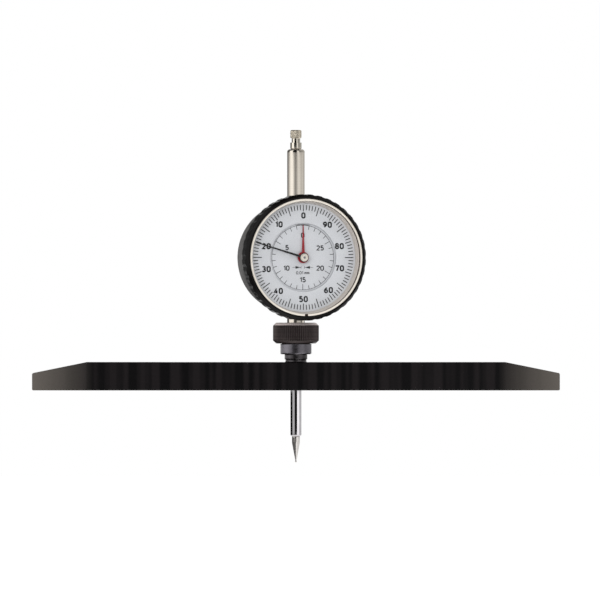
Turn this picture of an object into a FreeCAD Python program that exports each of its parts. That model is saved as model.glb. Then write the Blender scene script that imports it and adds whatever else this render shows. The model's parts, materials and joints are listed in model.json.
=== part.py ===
import FreeCAD, Part

# Dial depth gauge: a dial indicator clamped by its stem in a long flat measuring bridge.
#
# The row frame has +Z up and the dial towards -Y. Its origin is the point where the spindle's axis
# meets the measuring face, the underside of the bridge. Lengths are millimetres, angles degrees.
#
# The gauge is stored as it hangs in the hand: spindle fully out, dial turned a little in its clamp.
import math
import os

import Sketcher

SIZES = [
    # measuring bridge
    ("bridge_length", 240.0),
    ("bridge_width", 18.0),
    ("bridge_height", 12.8),
    ("bridge_end_height", 7.8),
    ("bridge_end_width", 12.0),
    ("bridge_taper", 24.6),
    ("bridge_edge", 0.4),
    ("bridge_outlet", 7.0),
    # clamp: socket, split collet and knurled nut
    ("socket_thread", 10.0),
    ("socket_depth", 9.5),
    ("neck_diameter", 10.4),
    ("neck_height", 3.6),
    ("relief_diameter", 9.6),
    ("relief_height", 1.3),
    ("collar_diameter", 14.2),
    ("collar_height", 4.7),
    ("collar_edge", 0.3),
    ("socket_top_diameter", 13.0),
    ("socket_top_height", 7.0),
    ("collet_small_diameter", 8.9),
    ("collet_large_diameter", 10.8),
    ("collet_height", 7.4),
    ("collet_slot", 0.6),
    ("collet_web", 1.2),
    ("nut_diameter", 20.9),
    ("nut_height", 9.5),
    ("nut_chamfer", 1.4),
    ("nut_lift", 0.2),
    ("nut_flange", 1.2),
    ("nut_knurl_count", 72),
    ("nut_knurl_depth", 0.28),
    # stem, tube, guide bushes
    ("stem_diameter", 8.0),
    ("stem_bore", 6.2),
    ("stem_spigot", 7.2),
    ("stem_reach", 18.7),
    ("tube_length", 22.9),
    ("tube_edge", 0.7),
    ("bush_length", 6.0),
    # spindle, knob and insert
    ("spindle_diameter", 5.0),
    ("spindle_reach", 20.8),
    ("knob_thread", 3.0),
    ("knob_thread_length", 3.6),
    ("knob_diameter", 5.2),
    ("knob_barrel", 3.1),
    ("knob_groove_diameter", 3.9),
    ("knob_groove", 1.9),
    ("knob_head", 3.8),
    ("knob_edge", 0.4),
    ("knob_knurl_count", 26),
    ("knob_knurl_depth", 0.22),
    ("tip_thread", 2.5),
    ("tip_thread_length", 5.0),
    ("tip_diameter", 3.6),
    ("tip_shank", 3.1),
    ("tip_cone", 8.2),
    ("tip_neck", 0.5),
    ("tip_ball", 0.9),
    # travel and rest reading
    ("travel", 30.5),
    ("dial_height", 60.4),
    ("dial_turn", 17.0),
    ("pointer_rest", 73.2),
    ("counter_rest", 0.0),
    # case and back cover
    ("case_diameter", 50.0),
    ("case_wall", 1.6),
    ("case_rear", 10.0),
    ("case_front", 11.0),
    ("case_edge", 0.6),
    ("ledge_width", 1.9),
    ("ledge_depth", 1.5),
    ("boss_diameter", 11.0),
    ("boss_stand", 1.4),
    ("boss_inside", 1.6),
    ("cover_thickness", 1.2),
    ("cover_screw_inset", 3.3),
    ("cover_boss_diameter", 3.8),
    ("cover_boss_length", 4.5),
    ("cover_head_diameter", 3.0),
    ("cover_head_height", 0.7),
    ("cover_screw", 1.6),
    ("cover_screw_length", 4.0),
    # rim, crystal and scale
    ("rim_seat", 1.65),
    ("rim_wall", 2.05),
    ("rim_overlap", 1.2),
    ("rim_depth", 7.0),
    ("rim_edge", 0.4),
    ("rim_slope_width", 1.3),
    ("rim_slope_depth", 1.6),
    ("scallop_count", 40),
    ("scallop_depth", 0.4),
    ("scallop_radius", 3.2),
    ("scale_thickness", 0.4),
    ("scale_window", 31.3),
    ("spacer_height", 3.1),
    ("spacer_wall", 1.0),
    ("spacer_foot", 2.0),
    ("crystal_thickness", 1.3),
    ("clip_width", 1.0),
    ("clip_thickness", 0.6),
    ("clip_groove", 0.4),
    ("clip_gap_angle", 3.4),
    ("brake_wire", 0.5),
    # movement plates, pillars and screws
    ("rear_plate_depth", 5.6),
    ("plate_thickness", 1.0),
    ("middle_plate_diameter", 40.0),
    ("middle_plate_front", 3.8),
    ("middle_plate_thickness", 0.8),
    ("front_plate_front", 8.4),
    ("pillar_diameter", 3.0),
    ("pillar_inset", 2.2),
    ("movement_screw", 1.2),
    ("movement_head_diameter", 2.4),
    ("movement_head_height", 0.6),
    ("ledge_head_diameter", 1.7),
    ("counter_dial_lap", 0.65),
    ("counter_dial_thickness", 0.4),
    ("counter_dial_front", 10.6),
    ("dial_post_diameter", 2.0),
    ("dial_post_circle", 26.0),
    # gear train
    ("rack_module", 0.198944),
    ("rack_pinion_teeth", 16),
    ("rack_flat", 2.1),
    ("rack_pinion_width", 2.6),
    ("train_module", 0.25),
    ("wheel_teeth", 80),
    ("centre_pinion_teeth", 8),
    ("centre_pinion_low", 4.05),
    ("centre_pinion_width", 1.7),
    ("main_wheel_low", 4.2),
    ("takeup_wheel_low", 5.0),
    ("wheel_thickness", 0.6),
    ("wheel_hub_diameter", 3.2),
    ("wheel_rim_diameter", 16.4),
    ("counter_pinion_teeth", 12),
    ("counter_wheel_teeth", 36),
    ("counter_wheel_low", 8.8),
    ("counter_pinion_width", 0.96),
    ("arbor_diameter", 1.6),
    ("arbor_journal", 1.2),
    ("pivot_diameter", 0.7),
    ("centre_arbor_diameter", 1.1),
    ("bush_wall", 0.4),
    ("counter_tube_diameter", 2.8),
    ("takeup_bearing", 30.0),
    # hands
    ("pointer_length", 23.9),
    ("pointer_root_width", 1.0),
    ("pointer_tip_width", 0.4),
    ("pointer_hub_diameter", 4.2),
    ("pointer_front", 12.75),
    ("hand_thickness", 0.2),
    ("cap_diameter", 3.6),
    ("cap_height", 0.9),
    ("counter_hand_length", 14.9),
    ("counter_hand_root_width", 1.35),
    ("counter_hand_tip_width", 0.35),
    ("counter_hub_diameter", 5.2),
    ("counter_hand_front", 11.4),
    # guide bar, pins and springs
    ("guide_pin_diameter", 1.6),
    ("guide_pin_drop", 10.6),
    ("guide_bar_offset", 3.4),
    ("guide_bar_thickness", 2.0),
    ("guide_bar_front", 2.2),
    ("guide_bar_end", 1.8),
    ("spring_offset", 7.2),
    ("spring_length", 6.8),
    ("spring_coil_diameter", 2.3),
    ("spring_turns", 11),
    ("spring_wire", 0.34),
    ("hairspring_diameter", 9.0),
    ("hairspring_turns", 4),
    ("hairspring_strip", 0.12),
    ("hairspring_low", 6.1),
    ("hairspring_width", 0.5),
    ("hairspring_collet", 2.2),
    # clearances
    ("running", 0.03),
    ("thread_fit", 0.05),
    ("slot_fit", 0.05),
    ("stack_gap", 0.2),
]


class Size:
    """A size as the sheet formula that gives it, together with its present number."""

    def __init__(self, text, value):
        self.text = text
        self.value = value

    @staticmethod
    def of(thing):
        """A Size from a Size or a plain number."""
        return thing if isinstance(thing, Size) else Size(repr(thing), thing)

    def _join(self, sign, other, value):
        return Size(f"({self.text} {sign} {other.text})", value)

    def __add__(self, other):
        other = Size.of(other)
        return self._join("+", other, self.value + other.value)

    def __sub__(self, other):
        other = Size.of(other)
        return self._join("-", other, self.value - other.value)

    def __mul__(self, other):
        other = Size.of(other)
        return self._join("*", other, self.value * other.value)

    def __truediv__(self, other):
        other = Size.of(other)
        return self._join("/", other, self.value / other.value)

    def __radd__(self, other):
        return Size.of(other) + self

    def __rsub__(self, other):
        return Size.of(other) - self

    def __rmul__(self, other):
        return Size.of(other) * self

    def __rtruediv__(self, other):
        return Size.of(other) / self

    def __neg__(self):
        return Size(f"(0 - {self.text})", -self.value)


def root_of(size):
    """The square root of a Size."""
    return Size(f"sqrt({size.text})", math.sqrt(size.value))


def cosine(size):
    """The cosine of a Size in degrees."""
    return Size(f"cos({size.text})", math.cos(math.radians(size.value)))


def arc_cosine(size):
    """The angle in degrees whose cosine is a Size."""
    return Size(f"(acos({size.text}) / 1deg)", math.degrees(math.acos(size.value)))


def sine(size):
    """The sine of a Size in degrees."""
    return Size(f"sin({size.text})", math.sin(math.radians(size.value)))


def whole_number(size, more):
    """A Size rounded up to a whole number, with more added."""
    return Size(f"(ceil({size.text}) + {more})", math.ceil(size.value) + more)


class Sheet:
    """The spreadsheet of driving dimensions. Each dimension is read as an attribute and is a Size."""

    def __init__(self, document, rows):
        self.cells = document.addObject("Spreadsheet::Sheet", "Sizes")
        for number, (alias, value) in enumerate(rows, start=1):
            self.cells.set(f"A{number}", alias)
            self.cells.set(f"B{number}", repr(value))
            self.cells.setAlias(f"B{number}", alias)
        document.recompute()

    def __getattr__(self, alias):
        return Size(f"Sizes.{alias}", self.cells.get(alias))


doc = FreeCAD.newDocument("dial_depth_gauge")
s = Sheet(doc, SIZES)
pieces = {}


def keep(label, thing):
    """Names a finished piece, so that it is written to its own file."""
    thing.Label = label
    pieces[label] = thing
    return thing


def origin_of(body, role):
    """One of a body's own origin planes or axes, by its role."""
    return next(f for f in body.Origin.OriginFeatures if f.Role == role)


# Frames. "bridge" is the row frame. "gauge" is turned about the spindle axis by dial_turn. "dial" is
# the gauge frame stood up, so that its z runs out of the dial, its y up, and its origin is at the
# dial's height on the spindle axis.
UPRIGHT = "placement(vector(0; 0; 0); rotation(vector(0; 0; 1); 0))"
TURNED = "placement(vector(0; 0; 0); rotation(vector(0; 0; 1); Sizes.dial_turn))"
DIAL = TURNED + " * placement(vector(0; 0; Sizes.dial_height); rotation(vector(1; 0; 0); 90))"
FRAMES = {"bridge": UPRIGHT, "gauge": TURNED, "dial": DIAL}


def seat(thing, frame, x=0, y=0, z=0, spin=0):
    """Places a piece in a frame, moved by x, y and z and spun about its own z axis."""
    x, y, z, spin = (Size.of(part) for part in (x, y, z, spin))
    local = (f"placement(vector({x.text}; {y.text}; {z.text}); "
             f"rotation(vector(0; 0; 1); {spin.text}))")
    thing.setExpression("Placement", f"{FRAMES[frame]} * {local}")
    return thing


def new_body(name):
    """An empty PartDesign body."""
    return doc.addObject("PartDesign::Body", name)


def new_sketch(body, role, offset=0):
    """An empty sketch on one of the body's origin planes, moved along that plane's normal."""
    sketch = body.newObject("Sketcher::SketchObject", f"{body.Name}_sketch")
    sketch.AttachmentSupport = [(origin_of(body, role), "")]
    sketch.MapMode = "FlatFace"
    sketch.setExpression("AttachmentOffset.Base.z", Size.of(offset).text)
    return sketch


def pin_point(sketch, line, end, x, y):
    """Fixes one end of a sketch line at bound distances from the sketch's origin."""
    for kind, place in (("DistanceX", x), ("DistanceY", y)):
        place = Size.of(place)
        rule = sketch.addConstraint(Sketcher.Constraint(kind, -1, 1, line, end, place.value))
        sketch.setExpression(f"Constraints[{rule}]", place.text)


def draw_outline(sketch, corners):
    """A closed outline of straight lines through corners, each (x, y) bound to the sheet."""
    first = sketch.GeometryCount
    values = [(Size.of(x).value, Size.of(y).value) for x, y in corners]
    count = len(corners)
    for index in range(count):
        start, stop = values[index], values[(index + 1) % count]
        sketch.addGeometry(Part.LineSegment(FreeCAD.Vector(*start, 0), FreeCAD.Vector(*stop, 0)))
    for index in range(count):
        follower = first + (index + 1) % count
        sketch.addConstraint(Sketcher.Constraint("Coincident", first + index, 2, follower, 1))
    for index, (x, y) in enumerate(corners):
        pin_point(sketch, first + index, 1, x, y)


def draw_circle(sketch, x, y, diameter):
    """A circle with its centre and diameter bound to the sheet."""
    x, y, diameter = (Size.of(part) for part in (x, y, diameter))
    centre = FreeCAD.Vector(x.value, y.value, 0)
    circle = sketch.addGeometry(Part.Circle(centre, FreeCAD.Vector(0, 0, 1), diameter.value / 2))
    pin_point(sketch, circle, 3, x, y)
    rule = sketch.addConstraint(Sketcher.Constraint("Diameter", circle, diameter.value))
    sketch.setExpression(f"Constraints[{rule}]", diameter.text)


def turn(body, outline, angle=360):
    """Revolves an outline of (radius, height) corners about the body's z axis."""
    sketch = new_sketch(body, "XZ_Plane")
    draw_outline(sketch, outline)
    feature = body.newObject("PartDesign::Revolution", f"{body.Name}_turned")
    feature.Profile = sketch
    feature.ReferenceAxis = (sketch, ["V_Axis"])
    feature.Midplane = True
    feature.setExpression("Angle", Size.of(angle).text)
    body.Tip = feature
    return feature


def pad(body, sketch, length, both_ways=False, backwards=False):
    """Raises a sketch by a bound length."""
    feature = body.newObject("PartDesign::Pad", f"{body.Name}_pad")
    feature.Profile = sketch
    feature.setExpression("Length", Size.of(length).text)
    feature.Midplane = both_ways
    feature.Reversed = backwards
    body.Tip = feature
    return feature


def cut(body, sketch, length=None, backwards=False):
    """Cuts a sketch to a bound length, or right through both ways, and tests that it cut."""
    doc.recompute()
    before = body.Shape.Volume
    feature = body.newObject("PartDesign::Pocket", f"{body.Name}_cut")
    feature.Profile = sketch
    if length is None:
        feature.Type = 1
        feature.Midplane = True
    else:
        feature.setExpression("Length", Size.of(length).text)
        feature.Reversed = backwards
    body.Tip = feature
    doc.recompute()
    if not body.Shape.Volume < before:
        raise ValueError(f"{body.Name}: a cut took nothing away")
    return feature


def around(body, feature, count):
    """Repeats a feature evenly round the body's z axis."""
    pattern = body.newObject("PartDesign::PolarPattern", f"{body.Name}_ring")
    pattern.Originals = [feature]
    pattern.Axis = (origin_of(body, "Z_Axis"), [""])
    pattern.Angle = 360
    pattern.setExpression("Occurrences", Size.of(count).text)
    body.Tip = pattern
    return pattern


def named_edges(body):
    """The edges of the body's last feature with their names."""
    return [(f"Edge{number}", edge) for number, edge in enumerate(body.Tip.Shape.Edges, start=1)]


def ring_edges(shape, radius, height):
    """Names of the round edges about the z axis at a radius and a height."""
    names = []
    for number, edge in enumerate(shape.Edges, start=1):
        if isinstance(edge.Curve, Part.Circle):
            centre = edge.Curve.Center
            off = math.hypot(centre.x, centre.y)
            if off < 1e-4 and abs(centre.z - height) < 1e-4 and abs(edge.Curve.Radius - radius) < 1e-4:
                names.append(f"Edge{number}")
    return names


def soften(body, kind, size, edges):
    """Fillets or chamfers named edges of the body's last feature."""
    previous = body.Tip
    feature = body.newObject(f"PartDesign::{kind}", f"{body.Name}_{kind.lower()}")
    feature.Base = (previous, edges)
    feature.setExpression("Radius" if kind == "Fillet" else "Size", Size.of(size).text)
    body.Tip = feature
    return feature


def soften_ring(body, kind, size, radius, height):
    """Fillets or chamfers the round edge at a radius and a height about the z axis."""
    doc.recompute()
    edges = ring_edges(body.Tip.Shape, Size.of(radius).value, Size.of(height).value)
    return soften(body, kind, size, edges)


def turned_piece(label, frame, outline, **place):
    """A whole piece that is one turned outline."""
    body = new_body(label)
    turn(body, outline)
    seat(body, frame, **place)
    return keep(label, body)


def tube_outline(inner, outer, low, high):
    """The outline of a plain ring or bush, by its diameters and its two ends."""
    return [(inner / 2, low), (outer / 2, low), (outer / 2, high), (inner / 2, high)]


def rod_outline(*steps):
    """The outline of a stepped solid rod from (diameter, end height) steps, the first its start."""
    (_, start), *rest = steps
    corners = [(0, start)]
    low = start
    for diameter, high in rest:
        corners += [(diameter / 2, low), (diameter / 2, high)]
        low = high
    return corners + [(0, low)]


def compound(label, frame, shapes, **place):
    """A piece made of shapes worked out in code, as separate solids in one node."""
    thing = doc.addObject("Part::Feature", label)
    thing.Shape = shapes[0] if len(shapes) == 1 else Part.makeCompound(shapes)
    seat(thing, frame, **place)
    return keep(label, thing)


def ring_solid(inner, outer, low, high, x=0.0, y=0.0):
    """A plain tube about an axis along z, by numbers. An inner diameter of 0 gives a solid bar."""
    base = FreeCAD.Vector(Size.of(x).value, Size.of(y).value, low)
    bar = Part.makeCylinder(outer / 2, high - low, base)
    return bar.cut(Part.makeCylinder(inner / 2, high - low, base)) if inner else bar


# Levels in the bridge and gauge frames, up from the measuring face.
collar_low = s.bridge_height + s.neck_height
collar_high = collar_low + s.collar_height
socket_high = collar_high + s.socket_top_height
nut_low = collar_high + s.nut_lift
nut_high = nut_low + s.nut_height
case_low = s.dial_height - s.case_diameter / 2
boss_low = case_low - s.boss_stand
boss_high = s.dial_height + s.case_diameter / 2 + s.boss_stand
stem_low = boss_low - s.stem_reach
tube_high = boss_high + s.tube_length
# Depths in the dial frame, forward from the spindle axis.
rim_rear = s.case_front - s.rim_overlap
rim_front = rim_rear + s.rim_depth
scale_rear = s.case_front + s.stack_gap
scale_front = scale_rear + s.scale_thickness
crystal_rear = scale_front + s.spacer_height
crystal_front = crystal_rear + s.crystal_thickness
clip_front = crystal_front + s.clip_thickness
front_plate_rear = s.front_plate_front - s.plate_thickness
middle_plate_rear = s.middle_plate_front - s.middle_plate_thickness
rear_plate_front = s.plate_thickness - s.rear_plate_depth
case_bore = s.case_diameter - 2 * s.case_wall
ledge_bore = case_bore - 2 * s.ledge_width
ledge_screw_circle = case_bore - s.ledge_width
cover_screw_circle = s.case_diameter - 2 * s.cover_screw_inset
rim_bore = s.case_diameter + 2 * s.rim_seat
rim_diameter = rim_bore + 2 * s.rim_wall
rear_plate_diameter = cover_screw_circle - s.cover_boss_diameter - 2 * s.stack_gap
pillar_circle = rear_plate_diameter - 2 * s.pillar_inset
counter_dial_diameter = s.scale_window + 2 * s.counter_dial_lap
spindle_bore = s.spindle_diameter + 2 * s.running
# Places of the arbors in the dial frame. The rack arbor stands off the rack by its pitch radius.
centre_distance = s.train_module * (s.wheel_teeth + s.centre_pinion_teeth) / 2
counter_module = 2 * centre_distance / (s.counter_pinion_teeth + s.counter_wheel_teeth)
rack_pitch = math.pi * s.rack_module
rack_x = s.rack_module - s.rack_flat - s.rack_module * s.rack_pinion_teeth / 2
rack_y = root_of(centre_distance * centre_distance - rack_x * rack_x)
mesh_angle = arc_cosine(rack_x / centre_distance) - 180
takeup_x = centre_distance * cosine(s.takeup_bearing)
takeup_y = -centre_distance * sine(s.takeup_bearing)


# Bearings about the dial's centre, in degrees. The pillars stand clear of every wheel.
PILLAR_BEARINGS = (30.6, 170.0, 244.2)
LEDGE_SCREW_BEARINGS = (20, 140, 260)
DIAL_POST_BEARINGS = (30, 180, 290)


def on_circle(circle, bearings):
    """Places on a circle about the dial's centre, by its diameter and their bearings."""
    return [(circle / 2 * cosine(Size.of(bearing)), circle / 2 * sine(Size.of(bearing)))
            for bearing in bearings]


PILLARS = on_circle(pillar_circle, PILLAR_BEARINGS)
LEDGE_SCREWS = on_circle(ledge_screw_circle, LEDGE_SCREW_BEARINGS)


def make_bridge():
    """The long measuring bridge: a flat bar whose ends taper in height and in width."""
    body = new_body("measuring_bridge")
    half = s.bridge_length / 2
    kink = half - s.bridge_taper
    side = new_sketch(body, "XZ_Plane")
    draw_outline(side, [
        (-half, 0), (half, 0), (half, s.bridge_end_height), (kink, s.bridge_height),
        (-kink, s.bridge_height), (-half, s.bridge_end_height)])
    pad(body, side, s.bridge_width, both_ways=True)
    plan = new_sketch(body, "XY_Plane")
    beyond = half + 1
    for end in (-1, 1):
        for flank in (-1, 1):
            wide = flank * s.bridge_width / 2
            tip = flank * s.bridge_end_width / 2
            draw_outline(plan, [
                (end * kink, wide), (end * half, tip), (end * beyond, tip),
                (end * beyond, wide + flank), (end * kink, wide + flank)])
    cut(body, plan)
    sharp = [name for name, edge in named_edges(body) if not on_kink(edge, kink.value)]
    soften(body, "Chamfer", s.bridge_edge, sharp)
    socket_hole = new_sketch(body, "XY_Plane", s.bridge_height)
    draw_circle(socket_hole, 0, 0, s.socket_thread + s.thread_fit)
    cut(body, socket_hole, s.socket_depth)
    outlet = new_sketch(body, "XY_Plane")
    draw_circle(outlet, 0, 0, s.bridge_outlet)
    cut(body, outlet)
    soften_ring(body, "Chamfer", s.bridge_edge, s.bridge_outlet / 2, 0)
    seat(body, "bridge")
    keep("measuring_bridge", body)


def on_kink(edge, kink):
    """Whether an edge lies in one of the two planes where the bridge starts to taper."""
    ends = [vertex.X for vertex in edge.Vertexes]
    return abs(ends[0] - ends[-1]) < 1e-6 and abs(abs(ends[0]) - kink) < 1e-6


def make_clamp():
    """The clamp: a socket screwed into the bridge, a split collet and the knurled nut over it."""
    bore = s.stem_diameter + 2 * s.running
    foot = s.bridge_height - s.socket_depth
    cone_low = socket_high - s.collet_height + s.collet_web
    cone_fit = 2 * s.running
    relief_high = s.bridge_height + s.relief_height
    turned_piece("clamp_socket", "bridge", [
        (bore / 2, foot), (s.socket_thread / 2, foot), (s.socket_thread / 2, s.bridge_height),
        (s.neck_diameter / 2, s.bridge_height),
        (s.relief_diameter / 2, s.bridge_height + s.collar_edge),
        (s.relief_diameter / 2, relief_high), (s.neck_diameter / 2, relief_high),
        (s.neck_diameter / 2, collar_low), (s.collar_diameter / 2 - s.collar_edge, collar_low),
        (s.collar_diameter / 2, collar_low + s.collar_edge), (s.collar_diameter / 2, collar_high),
        (s.socket_top_diameter / 2, collar_high), (s.socket_top_diameter / 2, socket_high),
        ((s.collet_large_diameter + cone_fit) / 2, socket_high),
        ((s.collet_small_diameter + cone_fit) / 2, cone_low), (bore / 2, cone_low)])

    collet = new_body("split_collet")
    collet_low = cone_low + s.running
    collet_high = collet_low + s.collet_height
    large = s.collet_large_diameter / 2
    turn(collet, [
        (bore / 2, collet_low), (s.collet_small_diameter / 2, collet_low), (large, socket_high),
        (large, collet_high - s.collet_web / 2), (large - s.collet_web / 2, collet_high),
        (bore / 2, collet_high)])
    slots = new_sketch(collet, "XY_Plane", collet_low)
    half, reach = s.collet_slot / 2, s.collet_large_diameter
    draw_outline(slots, [
        (half, half), (reach, half), (reach, -half), (half, -half), (half, -reach),
        (-half, -reach), (-half, -half), (-reach, -half), (-reach, half), (-half, half),
        (-half, reach), (half, reach)])
    cut(collet, slots, s.collet_height - s.collet_web, backwards=True)
    seat(collet, "bridge")
    keep("split_collet", collet)

    nut = new_body("clamp_nut")
    outer = s.nut_diameter / 2
    thread = s.socket_top_diameter / 2 + s.thread_fit
    mouth = bore / 2 + s.collet_slot
    seat_low = collet_high + s.running
    turn(nut, [
        (thread, nut_low), (outer - s.nut_chamfer, nut_low), (outer, nut_low + s.nut_chamfer),
        (outer, nut_high - s.nut_chamfer), (outer - s.nut_chamfer, nut_high), (mouth, nut_high),
        (mouth, seat_low), (thread, seat_low)])
    groove = new_sketch(nut, "XY_Plane", nut_low)
    depth = s.nut_knurl_depth
    draw_outline(groove, [(outer - depth, 0), (outer + depth, 2 * depth), (outer + depth, -2 * depth)])
    around(nut, cut(nut, groove, s.nut_height, backwards=True), s.nut_knurl_count)
    seat(nut, "bridge")
    keep("clamp_nut", nut)


def make_stem():
    """The mounting stem below the case, the guard tube above it, and a guide bush in each."""
    spigot_low = s.dial_height - case_bore / 2 + s.boss_inside
    spigot_high = s.dial_height + case_bore / 2 - s.boss_inside
    fit = s.running
    turned_piece("lower_guide_bush", "gauge", tube_outline(
        spindle_bore, s.stem_bore - 2 * fit, stem_low, stem_low + s.bush_length))
    turned_piece("mounting_stem", "gauge", [
        (s.stem_bore / 2, stem_low), (s.stem_diameter / 2 - s.tube_edge, stem_low),
        (s.stem_diameter / 2, stem_low + s.tube_edge), (s.stem_diameter / 2, boss_low),
        (s.stem_spigot / 2, boss_low), (s.stem_spigot / 2, spigot_low),
        (s.stem_bore / 2, spigot_low)])
    turned_piece("guard_tube", "gauge", [
        (s.stem_bore / 2, spigot_high), (s.stem_spigot / 2, spigot_high),
        (s.stem_spigot / 2, boss_high), (s.stem_diameter / 2, boss_high),
        (s.stem_diameter / 2, tube_high - s.tube_edge),
        (s.stem_diameter / 2 - s.tube_edge, tube_high), (s.stem_bore / 2, tube_high)])
    turned_piece("upper_guide_bush", "gauge", tube_outline(
        spindle_bore, s.stem_bore, tube_high - s.bush_length, tube_high))


def make_spindle():
    """The measuring spindle with its rack, the lifting knob, the guide pin and the insert."""
    spindle = new_body("spindle")
    radius = s.spindle_diameter / 2
    thread = s.knob_thread / 2
    turn(spindle, [
        (0, s.tip_thread_length - s.spindle_reach),
        (s.tip_thread / 2, s.tip_thread_length - s.spindle_reach),
        (s.tip_thread / 2, -s.spindle_reach), (radius - s.knob_edge, -s.spindle_reach),
        (radius, s.knob_edge - s.spindle_reach), (radius, tube_high), (thread, tube_high),
        (thread, tube_high + s.knob_thread_length), (0, tube_high + s.knob_thread_length)])
    # The rack: a flat on the spindle's side, then one tooth space repeated along it. At rest the
    # pinion's tooth stands in a space, so the spaces are counted from the pinion's height.
    arbor_height = s.dial_height + rack_y
    spaces_above = 4
    spaces = whole_number(s.travel / rack_pitch, 2 * spaces_above)
    rack_top = arbor_height + spaces_above * rack_pitch
    rack_low = rack_top - (spaces - 1) * rack_pitch
    flat = new_sketch(spindle, "XZ_Plane")
    draw_outline(flat, [
        (-s.rack_flat, rack_low - 2 * rack_pitch), (-s.rack_flat, rack_top + 2 * rack_pitch),
        (-radius - 1, rack_top + 2 * rack_pitch), (-radius - 1, rack_low - 2 * rack_pitch)])
    cut(spindle, flat)
    space = new_sketch(spindle, "XZ_Plane")
    root = s.rack_flat - 2.25 * s.rack_module
    narrow = 0.075 * rack_pitch + 0.1 * s.rack_module
    wide = 0.39 * rack_pitch
    draw_outline(space, [
        (-root, rack_low - narrow), (-root, rack_low + narrow),
        (-s.rack_flat, rack_low + wide), (-s.rack_flat - 0.1, rack_low + wide),
        (-s.rack_flat - 0.1, rack_low - wide), (-s.rack_flat, rack_low - wide)])
    first = cut(spindle, space)
    row = spindle.newObject("PartDesign::LinearPattern", "rack_teeth")
    row.Originals = [first]
    row.Direction = (origin_of(spindle, "Z_Axis"), [""])
    row.Mode = "Spacing"
    row.setExpression("Offset", rack_pitch.text)
    row.setExpression("Occurrences", spaces.text)
    spindle.Tip = row
    seat(spindle, "gauge")
    keep("spindle", spindle)

    knob = new_body("lifting_knob")
    barrel_top = tube_high + s.knob_barrel
    head_low = barrel_top + s.knob_groove
    head_top = head_low + s.knob_head
    outer, edge = s.knob_diameter / 2, s.knob_edge
    blind = tube_high + s.knob_thread_length + s.stack_gap
    turn(knob, [
        (thread, tube_high), (outer - edge, tube_high), (outer, tube_high + edge),
        (outer, barrel_top), (s.knob_groove_diameter / 2, barrel_top),
        (s.knob_groove_diameter / 2, head_low), (outer - edge, head_low), (outer, head_low + edge),
        (outer, head_top - edge), (outer - edge, head_top), (0, head_top), (0, blind),
        (thread, blind)])
    groove = new_sketch(knob, "XY_Plane", head_low)
    depth = s.knob_knurl_depth
    draw_outline(groove, [
        (outer - depth, 0), (outer + depth, 1.6 * depth), (outer + depth, -1.6 * depth)])
    around(knob, cut(knob, groove, s.knob_head, backwards=True), s.knob_knurl_count)
    seat(knob, "gauge")
    keep("lifting_knob", knob)

    insert = new_body("measuring_insert")
    shank_low = -s.spindle_reach - s.tip_shank
    neck_low = shank_low - s.tip_cone
    stud_top = s.tip_thread_length - s.spindle_reach - s.stack_gap
    turn(insert, [
        (0, neck_low), (s.tip_neck / 2, neck_low), (s.tip_diameter / 2, shank_low),
        (s.tip_diameter / 2, -s.spindle_reach), (s.tip_thread / 2, -s.spindle_reach),
        (s.tip_thread / 2, stud_top), (0, stud_top)])
    ball = insert.newObject("PartDesign::AdditiveSphere", "tip_ball")
    ball.AttachmentSupport = [(origin_of(insert, "XY_Plane"), "")]
    ball.MapMode = "FlatFace"
    ball.setExpression("AttachmentOffset.Base.z", (neck_low - 0.4 * s.tip_ball).text)
    ball.setExpression("Radius", (s.tip_ball / 2).text)
    insert.Tip = ball
    seat(insert, "gauge")
    keep("measuring_insert", insert)

    pin = new_body("guide_pin")
    round_end = new_sketch(pin, "YZ_Plane", radius - s.knob_edge)
    draw_circle(round_end, 0, s.dial_height - s.guide_pin_drop, s.guide_pin_diameter)
    pad(pin, round_end, s.spring_offset + s.spring_wire * 3 - radius + s.knob_edge)
    seat(pin, "gauge")
    keep("guide_pin", pin)


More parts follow.
